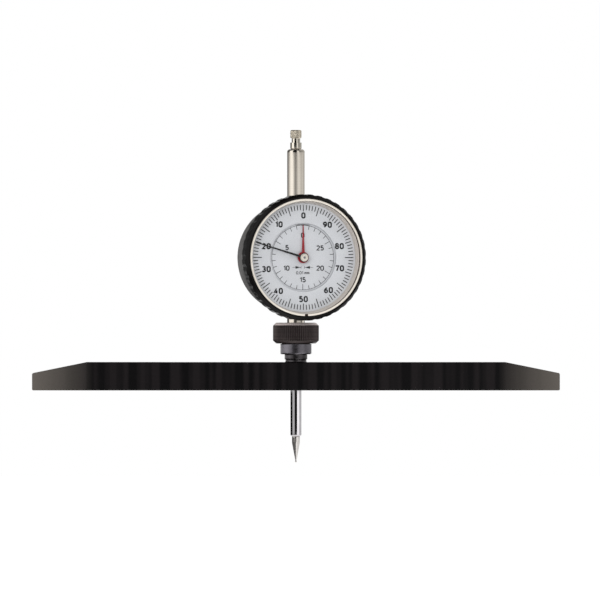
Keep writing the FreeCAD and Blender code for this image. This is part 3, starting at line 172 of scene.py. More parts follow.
@dataclass(frozen=True)
class Finish:
    """One surface finish: what it is made of, how it was worked and how it meets the light.

    Attributes:
        name: the finish in a maker's words.
        light: the brighter of its two tones, as sRGB hex.
        dark: the darker tone.
        grain: how the surface was worked.
        pitch: distance between its marks in millimetres.
        metallic: 1 for bare metal, 0 for paint, ink or plastic.
        roughness: the mean roughness.
        relief: height of the marks in millimetres.
        slot: the record's material slot; not used by this script.
        place: the frame whose z axis the marks follow.
        ior: index of refraction, for what isn't metal.
        alpha: opacity.
        coat: weight of a clear coat.
        worn: a paler or darker tone painted in for light or shade, such as a painted highlight or
            painted shade, or nothing.
        worn_axis: the axis along which that tone comes in, to both sides of the middle.
        worn_reach: how far out along the axis it starts and is full, in millimetres.
    """

    name: str
    light: str
    dark: str
    grain: Grain
    pitch: float
    metallic: float
    roughness: float
    relief: float
    slot: str
    place: Place = Place.BRIDGE
    ior: float = 1.5
    alpha: float = 1.0
    coat: float = 0.0
    worn: str = ""
    worn_axis: str = "X"
    worn_reach: tuple[float, float] = (0.0, 1.0)

    def local_millimetres(self, tree: Tree) -> Socket:
        """Object coordinates brought back to the finish's own frame, in millimetres."""
        where, turn, _ = self.place.value.decompose()
        coordinates = add_node(tree, "ShaderNodeTexCoord")
        back = add_node(tree, "ShaderNodeMapping", {"vector_type": "TEXTURE"},
                        Vector=coordinates.outputs["Object"], Location=tuple(where * MM),
                        Rotation=tuple(turn.to_euler()), Scale=(MM, MM, MM))
        return back.outputs["Vector"]

    def stretched(self, tree: Tree, local: Socket) -> Socket:
        """Coordinates squeezed along the marks, so that a round noise becomes lines or rings."""
        if self.grain is Grain.TURNED:
            axes = add_node(tree, "ShaderNodeSeparateXYZ", Vector=local)
            flat = add_node(tree, "ShaderNodeCombineXYZ", X=axes.outputs["X"], Y=axes.outputs["Y"])
            radius = add_node(tree, "ShaderNodeVectorMath", {"operation": "LENGTH"},
                              in0=flat.outputs["Vector"])
            rings = add_node(tree, "ShaderNodeCombineXYZ", X=radius.outputs["Value"],
                             Z=axes.outputs["Z"])
            local = rings.outputs["Vector"]
        along = {Grain.TURNED: (1, 1, 1), Grain.DRAWN: (1, 1, 0.03), Grain.GROUND: (0.08, 1, 1),
                 Grain.MATT: (1, 1, 1), Grain.POLISHED: (1, 1, 1)}[self.grain]
        scale = tuple(part / self.pitch for part in along)
        squeeze = add_node(tree, "ShaderNodeVectorMath", {"operation": "MULTIPLY"}, in0=local,
                           in1=scale)
        return squeeze.outputs["Vector"]

    def tones(self, tree: Tree, local: Socket, marks: Socket) -> Socket:
        """The colour: dark to light with the marks or with painted reflection bands, and painted
        light or shade where a tone for it is given.
        """
        tone_source, clouding, spread = marks, 0.35, (0.52, 0.82)
        # Ground steel: broad bands along x, painted reflections of dark and light surroundings,
        # over the grinding marks.
        if self.grain is Grain.GROUND:
            narrow = add_node(tree, "ShaderNodeVectorMath", {"operation": "MULTIPLY"}, in0=local,
                              in1=(0.21, 0.0, 0.0))
            painted_reflection_bands = add_node(tree, "ShaderNodeTexNoise", Vector=narrow.outputs["Vector"], Scale=1.0,
                             Detail=1.0, Roughness=0.4)
            tone_source, clouding, spread = painted_reflection_bands.outputs["Fac"], 0.06, (0.46, 0.60)
        cloud = add_node(tree, "ShaderNodeTexNoise", Vector=local, Scale=0.11, Detail=2.0)
        blend = add_node(tree, "ShaderNodeMath", {"operation": "MULTIPLY_ADD"},
                         in0=cloud.outputs["Fac"], in1=clouding, in2=tone_source)
        tone = add_node(tree, "ShaderNodeMapRange", Value=blend.outputs["Value"],
                        From_Min=spread[0], From_Max=spread[1])
        colour = mix_colours(tree, tone.outputs["Result"], linear(self.dark), linear(self.light))
        # Painted light or shade: a tone that comes in along one axis, to both sides of the middle.
        if self.worn:
            axes = add_node(tree, "ShaderNodeSeparateXYZ", Vector=local)
            off = add_node(tree, "ShaderNodeMath", {"operation": "ABSOLUTE"},
                           in0=axes.outputs[self.worn_axis])
            share = add_node(tree, "ShaderNodeMapRange", Value=off.outputs["Value"],
                             From_Min=self.worn_reach[0], From_Max=self.worn_reach[1])
            colour = mix_colours(tree, share.outputs["Result"], colour, linear(self.worn))
        return colour

    def material(self) -> bpy.types.Material:
        """Makes the finish once, and returns the same material after that."""
        known = bpy.data.materials.get(self.name)
        if known:
            return known
        material = bpy.data.materials.new(self.name)
        tree = empty_tree(material)
        local = self.local_millimetres(tree)
        marks = add_node(tree, "ShaderNodeTexNoise", Vector=self.stretched(tree, local), Scale=1.0,
                         Detail=4.0, Roughness=0.62)
        rough = add_node(tree, "ShaderNodeMapRange", Value=marks.outputs["Fac"], From_Min=0.3,
                         From_Max=0.7, To_Min=self.roughness * 0.82, To_Max=self.roughness * 1.18)
        bump = add_node(tree, "ShaderNodeBump", Height=marks.outputs["Fac"], Strength=1.0,
                        Distance=self.relief * MM)
        shader = add_node(tree, "ShaderNodeBsdfPrincipled",
                          Base_Color=self.tones(tree, local, marks.outputs["Fac"]),
                          Roughness=rough.outputs["Result"], Normal=bump.outputs["Normal"],
                          Metallic=self.metallic, Alpha=self.alpha, Coat_Weight=self.coat)
        if not self.metallic:
            shader.inputs["IOR"].default_value = self.ior
        add_node(tree, "ShaderNodeOutputMaterial", Surface=shader.outputs["BSDF"])
        return material


# Ground tool steel, oiled, near black. Its broad upright bands are painted reflections, and the
# paler tone on the bevelled ends is a painted sheen.
GROUND_STEEL = Finish("ground tool steel", "#191617", "#0b0a0b", Grain.GROUND, 0.35, 0.0, 0.34,
                      0.003, "ground_steel", ior=1.16, worn="#5a5550", worn_reach=(92.0, 121.0))
# Blued steel: oxide over a turned surface, blue-black on the neck. The paler tone from the collar
# up is a painted highlight, against painted shade on the recessed neck below it.
BLUED_STEEL = Finish("blued steel", "#5c595b", "#464345", Grain.TURNED, 0.35, 1.0, 0.2, 0.002,
                     "blued_steel", worn="#77747a", worn_axis="Z", worn_reach=(16.3, 16.5))
# Black oxide on knurled steel: brown-black, with a pale painted highlight on the upper bevel.
KNURLED_STEEL = Finish("black oxide steel", "#4a4140", "#292323", Grain.TURNED, 0.5, 0.55, 0.36,
                       0.004, "nut_black", worn="#f0e2de", worn_axis="Z", worn_reach=(29.5, 29.8))
# Hardened spring steel of the collet, left grey.
COLLET_STEEL = Finish("hardened grey steel", "#8a8884", "#6c6a67", Grain.TURNED, 0.4, 0.9, 0.32,
                      0.003, "collet_steel")
# Satin nickel plate over a fine turned tube: warm white metal.
NICKEL = Finish("satin nickel plate", "#ded6ca", "#d2cabe", Grain.TURNED, 0.25, 1.0, 0.10, 0.0001,
                "nickel", Place.GAUGE)
# The same plate buffed bright on the small lifting knob. The duller, darker tone on its knurled
# head is painted shade.
BUFFED_NICKEL = Finish("buffed nickel plate", "#e2dccf", "#d8d0c2", Grain.POLISHED, 1.5, 1.0, 0.06,
                       0.0002, "nickel", Place.GAUGE, worn="#d9cfbd", worn_axis="Z",
                       worn_reach=(114.6, 114.9))
# Bright plate on the ring round the glass and on the pointer's cap, near white from any side.
NICKEL_RING = Finish("bright nickel ring", "#f6efe4", "#e4dccf", Grain.TURNED, 0.3, 0.6, 0.40,
                     0.002, "nickel", Place.DIAL)
# Hard chrome on a lapped spindle: cold, mirror-like, with a faint haze.
HARD_CHROME = Finish("hard chrome", "#cbc9cb", "#c0bdc0", Grain.POLISHED, 2.5, 1.0, 0.05,
                     0.0002, "hard_chrome", Place.GAUGE)
# Hard metal of the insert, ground but not lapped.
GROUND_CARBIDE = Finish("ground carbide", "#d2cecb", "#c0bcb8", Grain.TURNED, 0.2, 1.0, 0.14,
                        0.0005, "hard_chrome", Place.GAUGE)
# Satin lacquer over a brushed case band.
CASE_LACQUER = Finish("satin grey case lacquer", "#656463", "#514f4e", Grain.TURNED, 0.22, 0.1,
                      0.42, 0.003, "case_grey", Place.DIAL)
# Black anodised, fine turned rim.
RIM_BLACK = Finish("black turned rim", "#0d0b0a", "#070606", Grain.TURNED, 0.35, 0.0, 0.3, 0.003,
                   "rim_black", Place.DIAL, ior=1.22)
# Satin black paint on the pressed back cover.
COVER_BLACK = Finish("satin black cover", "#2b2a2a", "#1c1b1b", Grain.MATT, 0.3, 0.2, 0.5, 0.006,
                     "cover_black", Place.DIAL)
# The screws and the movement: bright steel, brushed brass, bearing bronze and spring wire.
SCREW_STEEL = Finish("bright screw steel", "#a9a8a6", "#85847f", Grain.TURNED, 0.3, 1.0, 0.3, 0.003,
                     "screw_steel", Place.DIAL)
BRASS = Finish("fine brushed brass", "#d8b26a", "#b98f4b", Grain.DRAWN, 0.25, 1.0, 0.3, 0.003,
               "brass", Place.DIAL)
BRONZE = Finish("plain bearing bronze", "#b07f4e", "#8d6038", Grain.TURNED, 0.3, 1.0, 0.34, 0.003,
                "bronze", Place.GAUGE)
ARBOR_STEEL = Finish("polished arbor steel", "#b9b9bb", "#98989b", Grain.TURNED, 0.2, 1.0, 0.2,
                     0.001, "arbor_steel", Place.DIAL)
SPRING_STEEL = Finish("drawn spring wire", "#80838a", "#5c5f66", Grain.DRAWN, 0.1, 1.0, 0.3, 0.002,
                      "spring_steel", Place.GAUGE)
# Matt dial lacquer, screen printed.
DIAL_GREY = Finish("matt dial lacquer", "#cfd1d5", "#c5c7cb", Grain.MATT, 0.25, 0.0, 0.6, 0.002,
                   "dial_grey", Place.DIAL)
# A thin dark ring between the spacer and the glass: painted shade and painted reflection, for the
# dark notch in the ring's gap and the brown line at its inner edge.
PAINTED_SHADE_SEAT = Finish("dark brown painted shade seat", "#453428", "#35281f", Grain.MATT, 0.3, 0.0, 0.6,
                    0.001, "spacer_grey", Place.DIAL)
SPACER_GREY = Finish("satin grey spacer ring", "#c8c1ba", "#b8b0a8", Grain.TURNED, 0.3, 0.0, 0.45,
                     0.002, "spacer_grey", Place.DIAL)
INK = Finish("black printing ink", "#17171a", "#101013", Grain.MATT, 0.15, 0.0, 0.55, 0.001,
             "hand_black", Place.DIAL)
HAND_BLACK = Finish("gloss black hand lacquer", "#161414", "#0b0a0b", Grain.MATT, 0.4, 0.0, 0.28,
                    0.001, "hand_black", Place.DIAL)
HAND_RED = Finish("deep red hand lacquer", "#a01c28", "#851823", Grain.MATT, 0.4, 0.0, 0.35, 0.001,
                  "hand_red", Place.DIAL)
# Clear acrylic crystal: nearly invisible from the front, with a soft sheen.
CRYSTAL = Finish("clear acrylic crystal", "#2c2e30", "#242628", Grain.POLISHED, 8.0, 0.0, 0.05,
                 0.0005, "clear_crystal", Place.DIAL, ior=1.49, alpha=0.04)


def put_in_row(points: np.ndarray, place: Place) -> np.ndarray:
    """Takes points from a local frame in millimetres to the row frame in metres."""
    matrix = np.array(place.value)
    return (points @ matrix[:3, :3].T + matrix[:3, 3]) * MM


def make_piece(name: str, points: np.ndarray, faces: list | np.ndarray, place: Place,
               finish: Finish, body: str, smooth_degrees: float = 35.0) -> bpy.types.Object:
    """Puts points and faces into a mesh, closes its seams, and fixes it to a body.

    Args:
        name: the piece's name.
        points: an (n, 3) array in local millimetres.
        faces: rows of point numbers.
        place: the local frame.
        finish: what the piece is dressed in.
        body: the body it moves with.
        smooth_degrees: edges sharper than this stay crisp.

    Returns:
        The finished object, at the origin with its place in its mesh.
    """
    mesh = bpy.data.meshes.new(name)
    mesh.from_pydata(put_in_row(points, place), [], [list(map(int, face)) for face in faces])
    shell = bmesh.new()
    shell.from_mesh(mesh)
    bmesh.ops.remove_doubles(shell, verts=shell.verts, dist=2e-7)
    bmesh.ops.dissolve_degenerate(shell, dist=1e-8, edges=shell.edges)
    bmesh.ops.recalc_face_normals(shell, faces=shell.faces)
    shell.to_mesh(mesh)
    shell.free()
    mesh.shade_smooth()
    mesh.set_sharp_from_angle(angle=math.radians(smooth_degrees))
    mesh.materials.append(finish.material())
    piece = add_object(name, mesh)
    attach(piece, body)
    LOG.info("%s: %d faces, %s", name, len(mesh.polygons), finish.name)
    return piece


def grid_faces(rows: int, columns: int, close_rows: bool, close_columns: bool) -> np.ndarray:
    """Quads between neighbouring points of a grid, wrapped round where a direction is closed."""
    row = np.arange(rows if close_rows else rows - 1)
    column = np.arange(columns if close_columns else columns - 1)
    i, j = np.meshgrid(row, column, indexing="ij")
    down, right = (i + 1) % rows, (j + 1) % columns
    quads = np.stack([i * columns + j, i * columns + right, down * columns + right,
                      down * columns + j], axis=-1)
    return quads.reshape(-1, 4)


def eased(profile: list[tuple[float, float]], radius: float, closed: bool) -> np.ndarray:
    """Rounds a profile's corners.

    Each corner is replaced by three points: one a radius before it, one a radius after it, and one
    from their middle a little over a third of the way to the corner. The ends of an open profile
    stay as they are.

    Args:
        profile: corners as (radius, height) in millimetres.
        radius: how far the rounding reaches along each side, at most 0.4 of that side.
        closed: whether the last corner joins the first.

    Returns:
        An (n, 2) array.
    """
    corners = np.array(profile, dtype=float)
    count = len(corners)
    rounded = []
    for index in range(count):
        here = corners[index]
        if not closed and index in (0, count - 1):
            rounded.append(here)
            continue
        before, after = corners[index - 1], corners[(index + 1) % count]
        back, forth = before - here, after - here
        reach = min(radius, 0.4 * np.hypot(*back), 0.4 * np.hypot(*forth))
        first = here + back / np.hypot(*back) * reach
        last = here + forth / np.hypot(*forth) * reach
        rounded += [first, (first + last) / 2 * 0.62 + here * 0.38, last]
    return np.array(rounded)


def densified(profile: np.ndarray, step: float) -> np.ndarray:
    """Adds points along a profile so that none are further apart than a step."""
    runs = []
    for start, stop in zip(profile[:-1], profile[1:]):
        parts = max(1, int(np.ceil(np.hypot(*(stop - start)) / step)))
        share = np.arange(parts)[:, None] / parts
        runs.append(start + (stop - start) * share)
    return np.vstack([*runs, profile[-1:]])


def lathe(name: str, profile: np.ndarray, place: Place, finish: Finish, body: str, closed: bool,
          segments: int = 96, shape: Callable | None = None,
          arc: tuple[float, float] = (0.0, 360.0)) -> bpy.types.Object:
    """Turns a profile about the local z axis.

    The point at profile place s and angle t is (r cos t, r sin t, z), where r and z come from the
    profile, and r first passes through the shape function if one is given.

    Args:
        name: the piece's name.
        profile: an (n, 2) array of (radius, height).
        place: the local frame.
        finish: what the piece is dressed in.
        body: the body it moves with.
        closed: whether the profile is a closed loop, as for a tube.
        segments: steps round the axis.
        shape: a function of (radius, height, angle) arrays that gives the new radius.
        arc: first and last angle in degrees. Less than a full turn gives an open ring.

    Returns:
        The finished object.
    """
    whole = arc[1] - arc[0] >= 360
    angles = np.radians(np.linspace(*arc, segments, endpoint=not whole))
    radius = np.repeat(profile[:, :1], segments, axis=1)
    height = np.repeat(profile[:, 1:], segments, axis=1)
    turn = np.broadcast_to(angles, radius.shape)
    if shape is not None:
        radius = shape(radius, height, turn)
    points = np.stack([radius * np.cos(turn), radius * np.sin(turn), height],
                      axis=-1).reshape(-1, 3)
    faces = list(grid_faces(len(profile), segments, closed, whole))
    if not whole:
        rows = np.arange(len(profile)) * segments
        faces += [rows[::-1], rows + segments - 1]
    return make_piece(name, points, faces, place, finish, body)


def triangle_wave(angle: np.ndarray) -> np.ndarray:
    """A wave of sharp ridges between 0 and 1, one for each turn of the angle."""
    return np.abs((angle / (2 * np.pi)) % 1.0 * 2 - 1)


@dataclass
class Print:
    """Gathers flat printed marks on one plane, and makes them one piece.

    A mark is a ribbon: a line of points with a constant width. Each ribbon's points go half a width
    to either side of the line, square to the mean direction of its two runs there.
    """

    name: str
    height: float
    body: str
    finish: Finish
    thickness: float = 0.02
    stretch: float = 1.3
    quads: list[np.ndarray] = field(default_factory=list)

    def ribbon(self, line: np.ndarray, width: float) -> None:
        """Adds one ribbon along a line of (x, y) points."""
        line = np.asarray(line, dtype=float)
        runs = np.diff(line, axis=0)
        runs /= np.hypot(runs[:, 0], runs[:, 1])[:, None]
        mean = np.vstack([runs[:1], runs[:-1] + runs[1:], runs[-1:]])
        length = np.hypot(mean[:, 0], mean[:, 1])[:, None]
        mean /= length
        widen = np.ones(len(line))
        widen[1:-1] = np.minimum(2 / length[1:-1, 0], 1.6)
        side = np.column_stack([-mean[:, 1], mean[:, 0]]) * (width / 2 * widen)[:, None]
        left, right = line + side, line - side
        self.quads.append(np.stack([left[:-1], right[:-1], right[1:], left[1:]], axis=1))

    def ray(self, angle: float, inner: float, outer: float, width: float) -> None:
        """Adds a radial tick. The angle is in degrees from twelve o'clock, counter-clockwise."""
        turn = math.radians(angle)
        way = np.array([-math.sin(turn), math.cos(turn)])
        self.ribbon(np.array([way * inner, way * outer]), width)

    def circle(self, radius: float, width: float, start: float = 0.0, stop: float = 360.0) -> None:
        """Adds a circle or an arc of one."""
        turn = np.radians(np.linspace(start, stop, 181))
        self.ribbon(np.column_stack([np.cos(turn), np.sin(turn)]) * radius, width)

    def words(self, text: str, x: float, y: float, height: float, width: float) -> None:
        """Adds a line of upright figures centred on a point.

        Each figure fills its box: its strokes' middle lines are drawn in a box that is smaller by
        one stroke.

        Args:
            text: the figures.
            x: the middle across.
            y: the middle up.
            height: the figures' full height in millimetres.
            width: the strokes' width.
        """
        box = height - width
        scale = np.array([box * self.stretch, box])
        glyphs = [FIGURES[letter] for letter in text]
        step = [glyph.width * scale[0] + width + GAP * height for glyph in glyphs]
        pen = x - (sum(step) - width - GAP * height) / 2
        for glyph, advance in zip(glyphs, step):
            for stroke in glyph.strokes:
                self.ribbon(stroke * scale + (pen, y - box / 2), width)
            pen += advance

    def lens(self, y: float, half: float, rise: float, drop: float) -> None:
        """Adds a lens: two parabolas, rise above and drop below y, that meet half to each side."""
        across = np.linspace(-half, half, 25)
        share = 1 - (across / half) ** 2
        upper = np.column_stack([across, y + rise * share])
        lower = np.column_stack([across, y - drop * share])
        self.quads.append(np.stack([upper[:-1], lower[:-1], lower[1:], upper[1:]], axis=1))

    def finish_piece(self) -> bpy.types.Object:
        """Makes one thin mesh of all the marks: each quad is a box of the print's thickness."""
        flat = np.concatenate(self.quads)
        count = len(flat)
        low = np.concatenate([flat, np.full((count, 4, 1), self.height)], axis=2)
        high = low + (0, 0, self.thickness)
        points = np.concatenate([low, high], axis=1).reshape(-1, 3)
        box = np.array([[4, 5, 6, 7], [0, 3, 2, 1], [0, 1, 5, 4], [2, 3, 7, 6], [1, 2, 6, 5],
                        [3, 0, 4, 7]])
        faces = (np.arange(count)[:, None, None] * 8 + box).reshape(-1, 4)
        return make_piece(self.name, points, faces, Place.DIAL, self.finish, self.body)


GAP = 0.07


@dataclass(frozen=True)
class Figure:
    """One stroke figure, 1 high: its strokes' middle lines as (n, 2) arrays, and its width."""

    strokes: tuple[np.ndarray, ...]
    width: float


def bow(x: float, y: float, across: float, up: float, start: float, stop: float) -> np.ndarray:
    """Points of an ellipse's arc about (x, y), with half-widths across and up, in degrees."""
    turn = np.radians(np.linspace(start, stop, 15))
    return np.column_stack([x + across * np.cos(turn), y + up * np.sin(turn)])


def path(*parts: object) -> np.ndarray:
    """Joins points and arcs into one line."""
    return np.vstack([np.atleast_2d(np.array(part, dtype=float)) for part in parts])


FIGURES = {
    "0": Figure((path(bow(0.24, 0.74, 0.24, 0.26, 0, 180), bow(0.24, 0.26, 0.24, 0.26, 180, 360),
                      (0.48, 0.74)),), 0.48),
    "1": Figure((path((0.0, 0.76), (0.22, 1.0), (0.22, 0.0)),), 0.22),
    "2": Figure((path(bow(0.24, 0.73, 0.24, 0.27, 165, -28), (0.0, 0.0), (0.48, 0.0)),), 0.48),
    "3": Figure((path(bow(0.22, 0.75, 0.21, 0.25, 155, -80), (0.18, 0.51)),
                 path((0.18, 0.51), bow(0.22, 0.26, 0.25, 0.26, 80, -155))), 0.48),
    "4": Figure((path((0.36, 1.0), (0.0, 0.24), (0.52, 0.24)),
                 path((0.38, 0.62), (0.38, 0.0))), 0.52),
    "5": Figure((path((0.43, 1.0), (0.07, 1.0), (0.03, 0.52)),
                 path((0.03, 0.52), bow(0.22, 0.30, 0.25, 0.30, 125, -150))), 0.47),
    "6": Figure((path((0.36, 1.0), bow(0.30, 0.34, 0.30, 0.46, 135, 180)),
                 path(bow(0.24, 0.27, 0.24, 0.27, 0, 360))), 0.48),
    "7": Figure((path((0.0, 1.0), (0.47, 1.0), (0.17, 0.0)),), 0.47),
    "8": Figure((path(bow(0.24, 0.76, 0.20, 0.24, 0, 360)),
                 path(bow(0.24, 0.26, 0.24, 0.26, 0, 360))), 0.48),
    "9": Figure((path((0.12, 0.0), bow(0.18, 0.66, 0.30, 0.46, -45, 0)),
                 path(bow(0.24, 0.73, 0.24, 0.27, 0, 360))), 0.48),
    ",": Figure((path((0.07, 0.03), (0.0, -0.2)),), 0.07),
    "m": Figure((path((0.0, 0.0), (0.0, 0.70)),
                 path((0.0, 0.48), bow(0.14, 0.54, 0.14, 0.15, 170, 0), (0.28, 0.0)),
                 path((0.28, 0.48), bow(0.42, 0.54, 0.14, 0.15, 170, 0), (0.56, 0.0))), 0.56),
    " ": Figure((), 0.1),
}


@dataclass
class Bridge:
    """The measuring bridge with its tapered ends."""

    node: str = "measuring_bridge"

    def build(self) -> None:
        """Dresses the ground bar."""
        dress(self.node, GROUND_STEEL)


@dataclass
class Clamp:
    """The blued socket and the black knurled nut that squeezes the collet."""

    collar_low: float = 16.4
    collar_high: float = 21.1
    nut_low: float = 21.3
    nut_high: float = 30.8
    nut_radius: float = 10.45
    nut_chamfer: float = 1.4
    thread_radius: float = 6.55
    mouth_radius: float = 4.63
    mouth_low: float = 29.7
    ridges: int = 72
    ridge_depth: float = 0.45

    def knurl(self, radius: np.ndarray, height: np.ndarray, turn: np.ndarray) -> np.ndarray:
        """Straight knurl: the radius is held under a wave of sharp ridges round the nut."""
        ridge = self.nut_radius - self.ridge_depth * triangle_wave(turn * self.ridges)
        return np.minimum(radius, ridge)

    def build(self) -> None:
        """Makes the nut and the socket's turned outside."""
        face = self.nut_radius - self.nut_chamfer
        loop = [(self.thread_radius, self.nut_low), (face, self.nut_low),
                (self.nut_radius, self.nut_low + self.nut_chamfer),
                (self.nut_radius, self.nut_high - self.nut_chamfer), (face, self.nut_high),
                (self.mouth_radius, self.nut_high), (self.mouth_radius, self.mouth_low),
                (self.thread_radius, self.mouth_low)]
        nut = lathe("knurled_nut", densified(eased(loop, 0.12, True), 1.2), Place.BRIDGE,
                    KNURLED_STEEL, "nut", True, self.ridges * 10, shape=self.knurl)
        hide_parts("clamp_nut")
        thread = [(4.03, 3.3), (5.0, 3.3), (5.0, 12.8), (5.2, 12.8), (4.8, 13.1), (4.8, 14.1),
                  (5.2, 14.1), (5.2, self.collar_low), (6.8, self.collar_low),
                  (7.1, self.collar_low + 0.3), (7.1, self.collar_high), (6.5, self.collar_high),
                  (6.5, 28.1), (5.43, 28.1), (4.48, 21.9), (4.03, 21.9)]
        socket = lathe("turned_socket", densified(eased(thread, 0.1, True), 0.4), Place.BRIDGE,
                       BLUED_STEEL, "stand", True)
        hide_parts("clamp_socket")
        dress("split_collet", COLLET_STEEL)


@dataclass
class Plunger:
    """The measuring spindle, its lifting knob above the guard tube and its pointed insert below."""

    radius: float = 2.5
    top: float = 109.7
    bottom: float = -20.8
    knob_radius: float = 2.6
    groove_radius: float = 1.95
    knob_bevel: float = 0.4
    flange_height: float = 3.1
    head_foot: float = 5.0
    knob_height: float = 8.8
    ridges: int = 22
    ridge_pitch: float = 0.75
    ridge_depth: float = 0.2
    insert_radius: float = 1.8
    ball_radius: float = 0.45
    ball_drop: float = 11.66

    def diamonds(self, radius: np.ndarray, height: np.ndarray, turn: np.ndarray) -> np.ndarray:
        """Diamond knurl: two sets of ridges that wind round the head in opposite ways."""
        wind = (height - self.top) * 2 * np.pi / self.ridge_pitch
        left = triangle_wave(turn * self.ridges + wind)
        right = triangle_wave(turn * self.ridges - wind)
        head = (height > self.top + 5.3) & (height < self.top + 8.45)
        ridge = self.knob_radius - self.ridge_depth * np.maximum(left, right)
        return np.where(head, np.minimum(radius, ridge), radius)

    def build(self) -> None:
        """Makes the knob and the insert, and dresses the spindle."""
        base, flange = self.top, self.top + self.flange_height
        foot, crown = self.top + self.head_foot, self.top + self.knob_height
        wide, bevel = self.knob_radius, self.knob_bevel
        outline = [(0.0, base), (wide - bevel, base), (wide, base + bevel), (wide, flange),
                   (self.groove_radius, flange), (self.groove_radius, foot),
                   (wide - bevel, foot), (wide, foot + bevel), (wide, crown - bevel),
                   (wide - bevel, crown), (0.0, crown)]
        knob = lathe("knurled_lifting_knob", densified(eased(outline, 0.1, False), 0.12),
                     Place.GAUGE, BUFFED_NICKEL, "plunger", False, self.ridges * 10,
                     shape=self.diamonds)
        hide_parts("lifting_knob")
        low = self.bottom
        turn = np.radians(np.linspace(-90, 50, 12))
        ball = (np.column_stack([np.cos(turn), np.sin(turn)]) * self.ball_radius
                + (0.0, low - self.ball_drop))
        ball[0, 0] = 0.0
        cone = [(0.25, low - 11.3), (self.insert_radius, low - 3.1),
                (self.insert_radius, low - 0.25), (1.7, low - 0.1), (1.7, low), (0.0, low)]
        profile = densified(np.vstack([ball, eased(cone, 0.1, False)]), 0.4)
        insert = lathe("pointed_insert", profile, Place.GAUGE, GROUND_CARBIDE, "plunger", False)
        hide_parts("measuring_insert")
        spindle = smooth_copy("spindle", "lapped_spindle", HARD_CHROME)
        lap(spindle.data, Place.GAUGE, self.radius)
        dress("guide_pin", ARBOR_STEEL)


@dataclass
class Head:
    """The case with its cover, the mounting stem and the guard tube."""

    rear: float = -10.0
    lid_radius: float = 24.4
    lid_thickness: float = 1.2
    tube_bore: float = 3.1
    neck_radius: float = 3.6
    stem_radius: float = 4.0
    stem_low: float = 15.3
    stem_high: float = 34.0
    stem_neck_high: float = 38.6
    tube_neck_low: float = 82.2
    tube_low: float = 86.8
    tube_high: float = 109.7
    bevel: float = 0.7

    def build(self) -> None:
        """Makes the case band's copy, the back cover and the tubes, and dresses the slotted cover
        screws.
        """
        smooth_copy("gauge_case", "case_band", CASE_LACQUER)
        back = self.rear - self.lid_thickness
        cover = [(0.0, back), (self.lid_radius - self.bevel, back),
                 (self.lid_radius, back + self.bevel), (self.lid_radius, self.rear),
                 (0.0, self.rear)]
        piece = lathe("back_lid", eased(cover, 0.2, False), Place.DIAL, COVER_BLACK, "gauge",
                      False, 160)
        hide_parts("back_cover")
        bore, neck, wide, bevel = self.tube_bore, self.neck_radius, self.stem_radius, self.bevel
        stem = [(bore, self.stem_low), (wide - bevel, self.stem_low),
                (wide, self.stem_low + bevel), (wide, self.stem_high), (neck, self.stem_high),
                (neck, self.stem_neck_high), (bore, self.stem_neck_high)]
        piece = lathe("clamped_stem", densified(eased(stem, 0.15, True), 0.5), Place.GAUGE, NICKEL,
                      "gauge", True)
        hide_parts("mounting_stem")
        tube = [(bore, self.tube_neck_low), (neck, self.tube_neck_low), (neck, self.tube_low),
                (wide, self.tube_low), (wide, self.tube_high - bevel),
                (wide - bevel, self.tube_high), (bore, self.tube_high)]
        piece = lathe("upper_tube", densified(eased(tube, 0.25, True), 0.5), Place.GAUGE, NICKEL,
                      "gauge", True)
        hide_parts("guard_tube")
        for node in ("cover_screws", "plate_screws", "pillar_screws"):
            dress(node, SCREW_STEEL)
        for node in ("lower_guide_bush", "upper_guide_bush", "centre_bush"):
            dress(node, BRONZE)
        dress("rim_spring", SPRING_STEEL)


